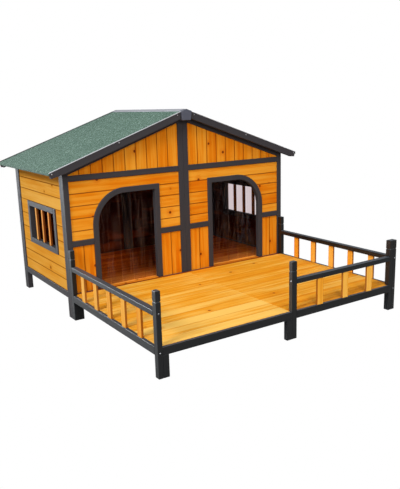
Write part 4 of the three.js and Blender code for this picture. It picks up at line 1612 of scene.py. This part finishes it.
@dataclass(frozen=True)
class Screws:
    """Pan-head screws with a cross recess. Those of the porch are given along X and Z."""

    radius: float = 0.0032
    height: float = 0.0018
    half_slot: float = 0.00055
    slot_reach: float = 0.62
    dent: float = 0.0012
    rings: int = 14
    spokes: int = 48
    posts: tuple[Span, ...] = ((-0.6635, 0.2625), (-0.6635, 0.105), (0.6635, 0.2625), (0.6615, 0.1085))
    middle: Span = (0.011, 0.264)
    barge_x: tuple[float, ...] = (0.050, 0.3875, 0.737)
    barge_drop: float = 0.009
    turn: float = 0.7

    def head(self) -> tuple[np.ndarray, list[list[int]]]:
        """Points and faces of one head that faces +Z and stands on z = 0.

        The profile is a quarter ellipse, z = h sqrt(1 - (r / R)^2), and the cross is a dent where
        either |x| or |y| is under half the slot's width, inside the slot's reach.

        Returns:
            The points, and the faces as lists of point numbers.
        """
        radii = np.concatenate([np.linspace(0.02, 0.98, self.rings), [1.0]])
        turns = np.linspace(0, 2 * math.pi, self.spokes, endpoint=False)
        r, t = np.meshgrid(radii, turns, indexing="ij")
        x, y = self.radius * r * np.cos(t), self.radius * r * np.sin(t)
        z = self.height * np.sqrt(np.clip(1 - r**2, 0, 1))
        arm = np.minimum(np.abs(x), np.abs(y)) < self.half_slot
        z = np.where(arm & (r < self.slot_reach), z - self.dent, z)
        points = np.stack([x, y, z], axis=-1).reshape(-1, 3)
        rows, columns = r.shape
        index = np.arange(rows * columns).reshape(rows, columns)
        right = np.roll(index, -1, axis=1)
        cells = np.stack([index[:-1], index[1:], right[1:], right[:-1]], axis=-1).reshape(-1, 4).tolist()
        cells.append(index[0].tolist())
        return points, cells

    def build(self) -> None:
        """Sets every head that stands on a visible face."""
        front = HOUSE.porch_front
        outward = Vector((0.0, -1.0, 0.0))
        places = [((x, front, z), outward) for x, z in self.posts]
        behind, height = self.middle
        places.append(((0.0, front + behind, height), Vector((-1.0, 0.0, 0.0))))
        for side in Side:
            for x in self.barge_x:
                z = ROOF.board_top(x) - self.barge_drop
                places.append(((side.value * x, ROOF.barge_front, z), outward))
                places.append(((side.value * x, ROOF.barge_rear, z), -outward))
        points, cells = self.head()
        vertices, faces = [], []
        for number, (at, way) in enumerate(places):
            turn = way.to_track_quat("Z", "Y").to_matrix() @ Matrix.Rotation(self.turn * number, 3, "Z")
            faces.extend((np.array(cell) + number * len(points)).tolist() for cell in cells)
            vertices.append(points @ np.array(turn).T + np.array(at))
        mesh = bpy.data.meshes.new("screw_heads")
        mesh.from_pydata(np.concatenate(vertices).tolist(), [], faces)
        dress(bpy.data.objects.new("screw_heads", mesh), ZINC, "house")


# ---------------------------------------------------------------- studio


@dataclass(frozen=True)
class CameraSizes:
    """The camera that matches the photograph."""

    place: Point = (-1.7180, -2.7264, 1.0262)
    yaw: float = math.radians(33.148)
    pitch: float = math.radians(12.965)
    roll: float = math.radians(-1.675)
    lens: float = 45.20
    sensor: float = 36.0


@dataclass(frozen=True)
class Lamp:
    """A square soft light that faces the middle of the part."""

    name: str
    place: Point
    size: float
    power: float
    colour: Colour
    sheen_only: bool = False


LAMPS = (
    Lamp("key", (-9.4, -3.6, 6.6), 3.2, 1080.0, (1.0, 0.99, 0.97)),
    Lamp("front", (-3.2, -9.0, 4.7), 3.8, 500.0, (1.0, 0.98, 0.95)),
    Lamp("top", (0.6, -3.2, 8.0), 4.6, 340.0, WHITE),
    Lamp("edge", (-5.6, 5.2, 1.6), 4.0, 1650.0, (0.88, 0.94, 1.0), sheen_only=True),
)
MIDDLE = Vector((0.0, 0.0, 0.4))
SKY: Colour = (0.96, 0.98, 1.0)
SKY_STRENGTH = 0.30
GROUND: Colour = (0.30, 0.30, 0.30)
GROUND_REACH = 30.0


class Studio:
    """Camera, soft lights, white surroundings and a pale floor."""

    def __init__(self, camera: CameraSizes = CameraSizes()) -> None:
        """Keeps the camera's sizes.

        Args:
            camera: where the camera is and how it looks.
        """
        self.camera = camera

    def aim(self) -> None:
        """Sets the camera from its yaw, its pitch below the horizon and its roll."""
        c = self.camera
        level = math.cos(c.pitch)
        forward = Vector((math.sin(c.yaw) * level, math.cos(c.yaw) * level, -math.sin(c.pitch)))
        right = Vector((math.cos(c.yaw), -math.sin(c.yaw), 0.0))
        up = right.cross(forward)
        across = right * math.cos(c.roll) + up * math.sin(c.roll)
        upward = up * math.cos(c.roll) - right * math.sin(c.roll)
        data = bpy.data.cameras.new("camera")
        data.lens = c.lens
        data.sensor_width = c.sensor
        data.sensor_fit = "AUTO"
        data.clip_start, data.clip_end = 0.01, 60.0
        made = bpy.data.objects.new("camera", data)
        bpy.context.scene.collection.objects.link(made)
        facing = Matrix((across, upward, -forward)).transposed().to_4x4()
        made.matrix_world = Matrix.Translation(c.place) @ facing
        bpy.context.scene.camera = made

    def light(self, lamp: Lamp) -> None:
        """Adds one soft light.

        Args:
            lamp: its place, size, power and colour.
        """
        data = bpy.data.lights.new(lamp.name, "AREA")
        data.shape = "SQUARE"
        data.size = lamp.size
        data.energy = lamp.power
        data.color = lamp.colour
        made = bpy.data.objects.new(lamp.name, data)
        bpy.context.scene.collection.objects.link(made)
        made.location = lamp.place
        made.rotation_mode = "QUATERNION"
        made.rotation_quaternion = (MIDDLE - Vector(lamp.place)).to_track_quat("-Z", "Y")
        made.visible_diffuse = not lamp.sheen_only

    def surroundings(self) -> None:
        """Pure white where the camera looks straight at it, and a softer white as light."""
        g = Graph("surroundings", world=True)
        straight = g.node("LightPath").outputs["Is Camera Ray"]
        soft = g.node("Background", {"Color": SKY, "Strength": SKY_STRENGTH}).outputs[0]
        pure = g.node("Background", {"Color": WHITE}).outputs[0]
        bpy.context.scene.world = g.surface(g.blend(straight, soft, pure))

    def floor(self) -> None:
        """A pale floor that reads as white and takes almost no shadow."""
        x, y = np.meshgrid((-GROUND_REACH, GROUND_REACH), (-GROUND_REACH, GROUND_REACH))
        made = bpy.data.objects.new("floor", surface_mesh("floor", np.stack([x, y, 0.0 * x], axis=-1)))
        bpy.context.scene.collection.objects.link(made)
        g = Graph("pale_floor")
        diffuse = g.node("BsdfDiffuse", {"Color": GROUND}).outputs[0]
        glow = g.node("Emission", {"Color": WHITE}).outputs[0]
        straight = g.node("LightPath").outputs["Is Camera Ray"]
        made.data.materials.append(g.surface(g.blend(straight, diffuse, glow)))

    def build(self) -> None:
        """Builds the studio."""
        self.aim()
        self.surroundings()
        self.floor()
        for lamp in LAMPS:
            self.light(lamp)
        bpy.context.scene.view_settings.view_transform = "Standard"


def main() -> None:
    """Builds the dog house from its sub-assemblies, then the studio."""
    logging.basicConfig(level=logging.INFO, format="%(name)s: %(message)s")
    FrontWall().build()
    RearWall().build()
    for side in Side:
        SideWall(side).build()
        Doorway(side).build()
    HouseFloor().build()
    Roof().build()
    Porch().build()
    Screws().build()
    Studio().build()


if __name__ == "__main__":
    main()
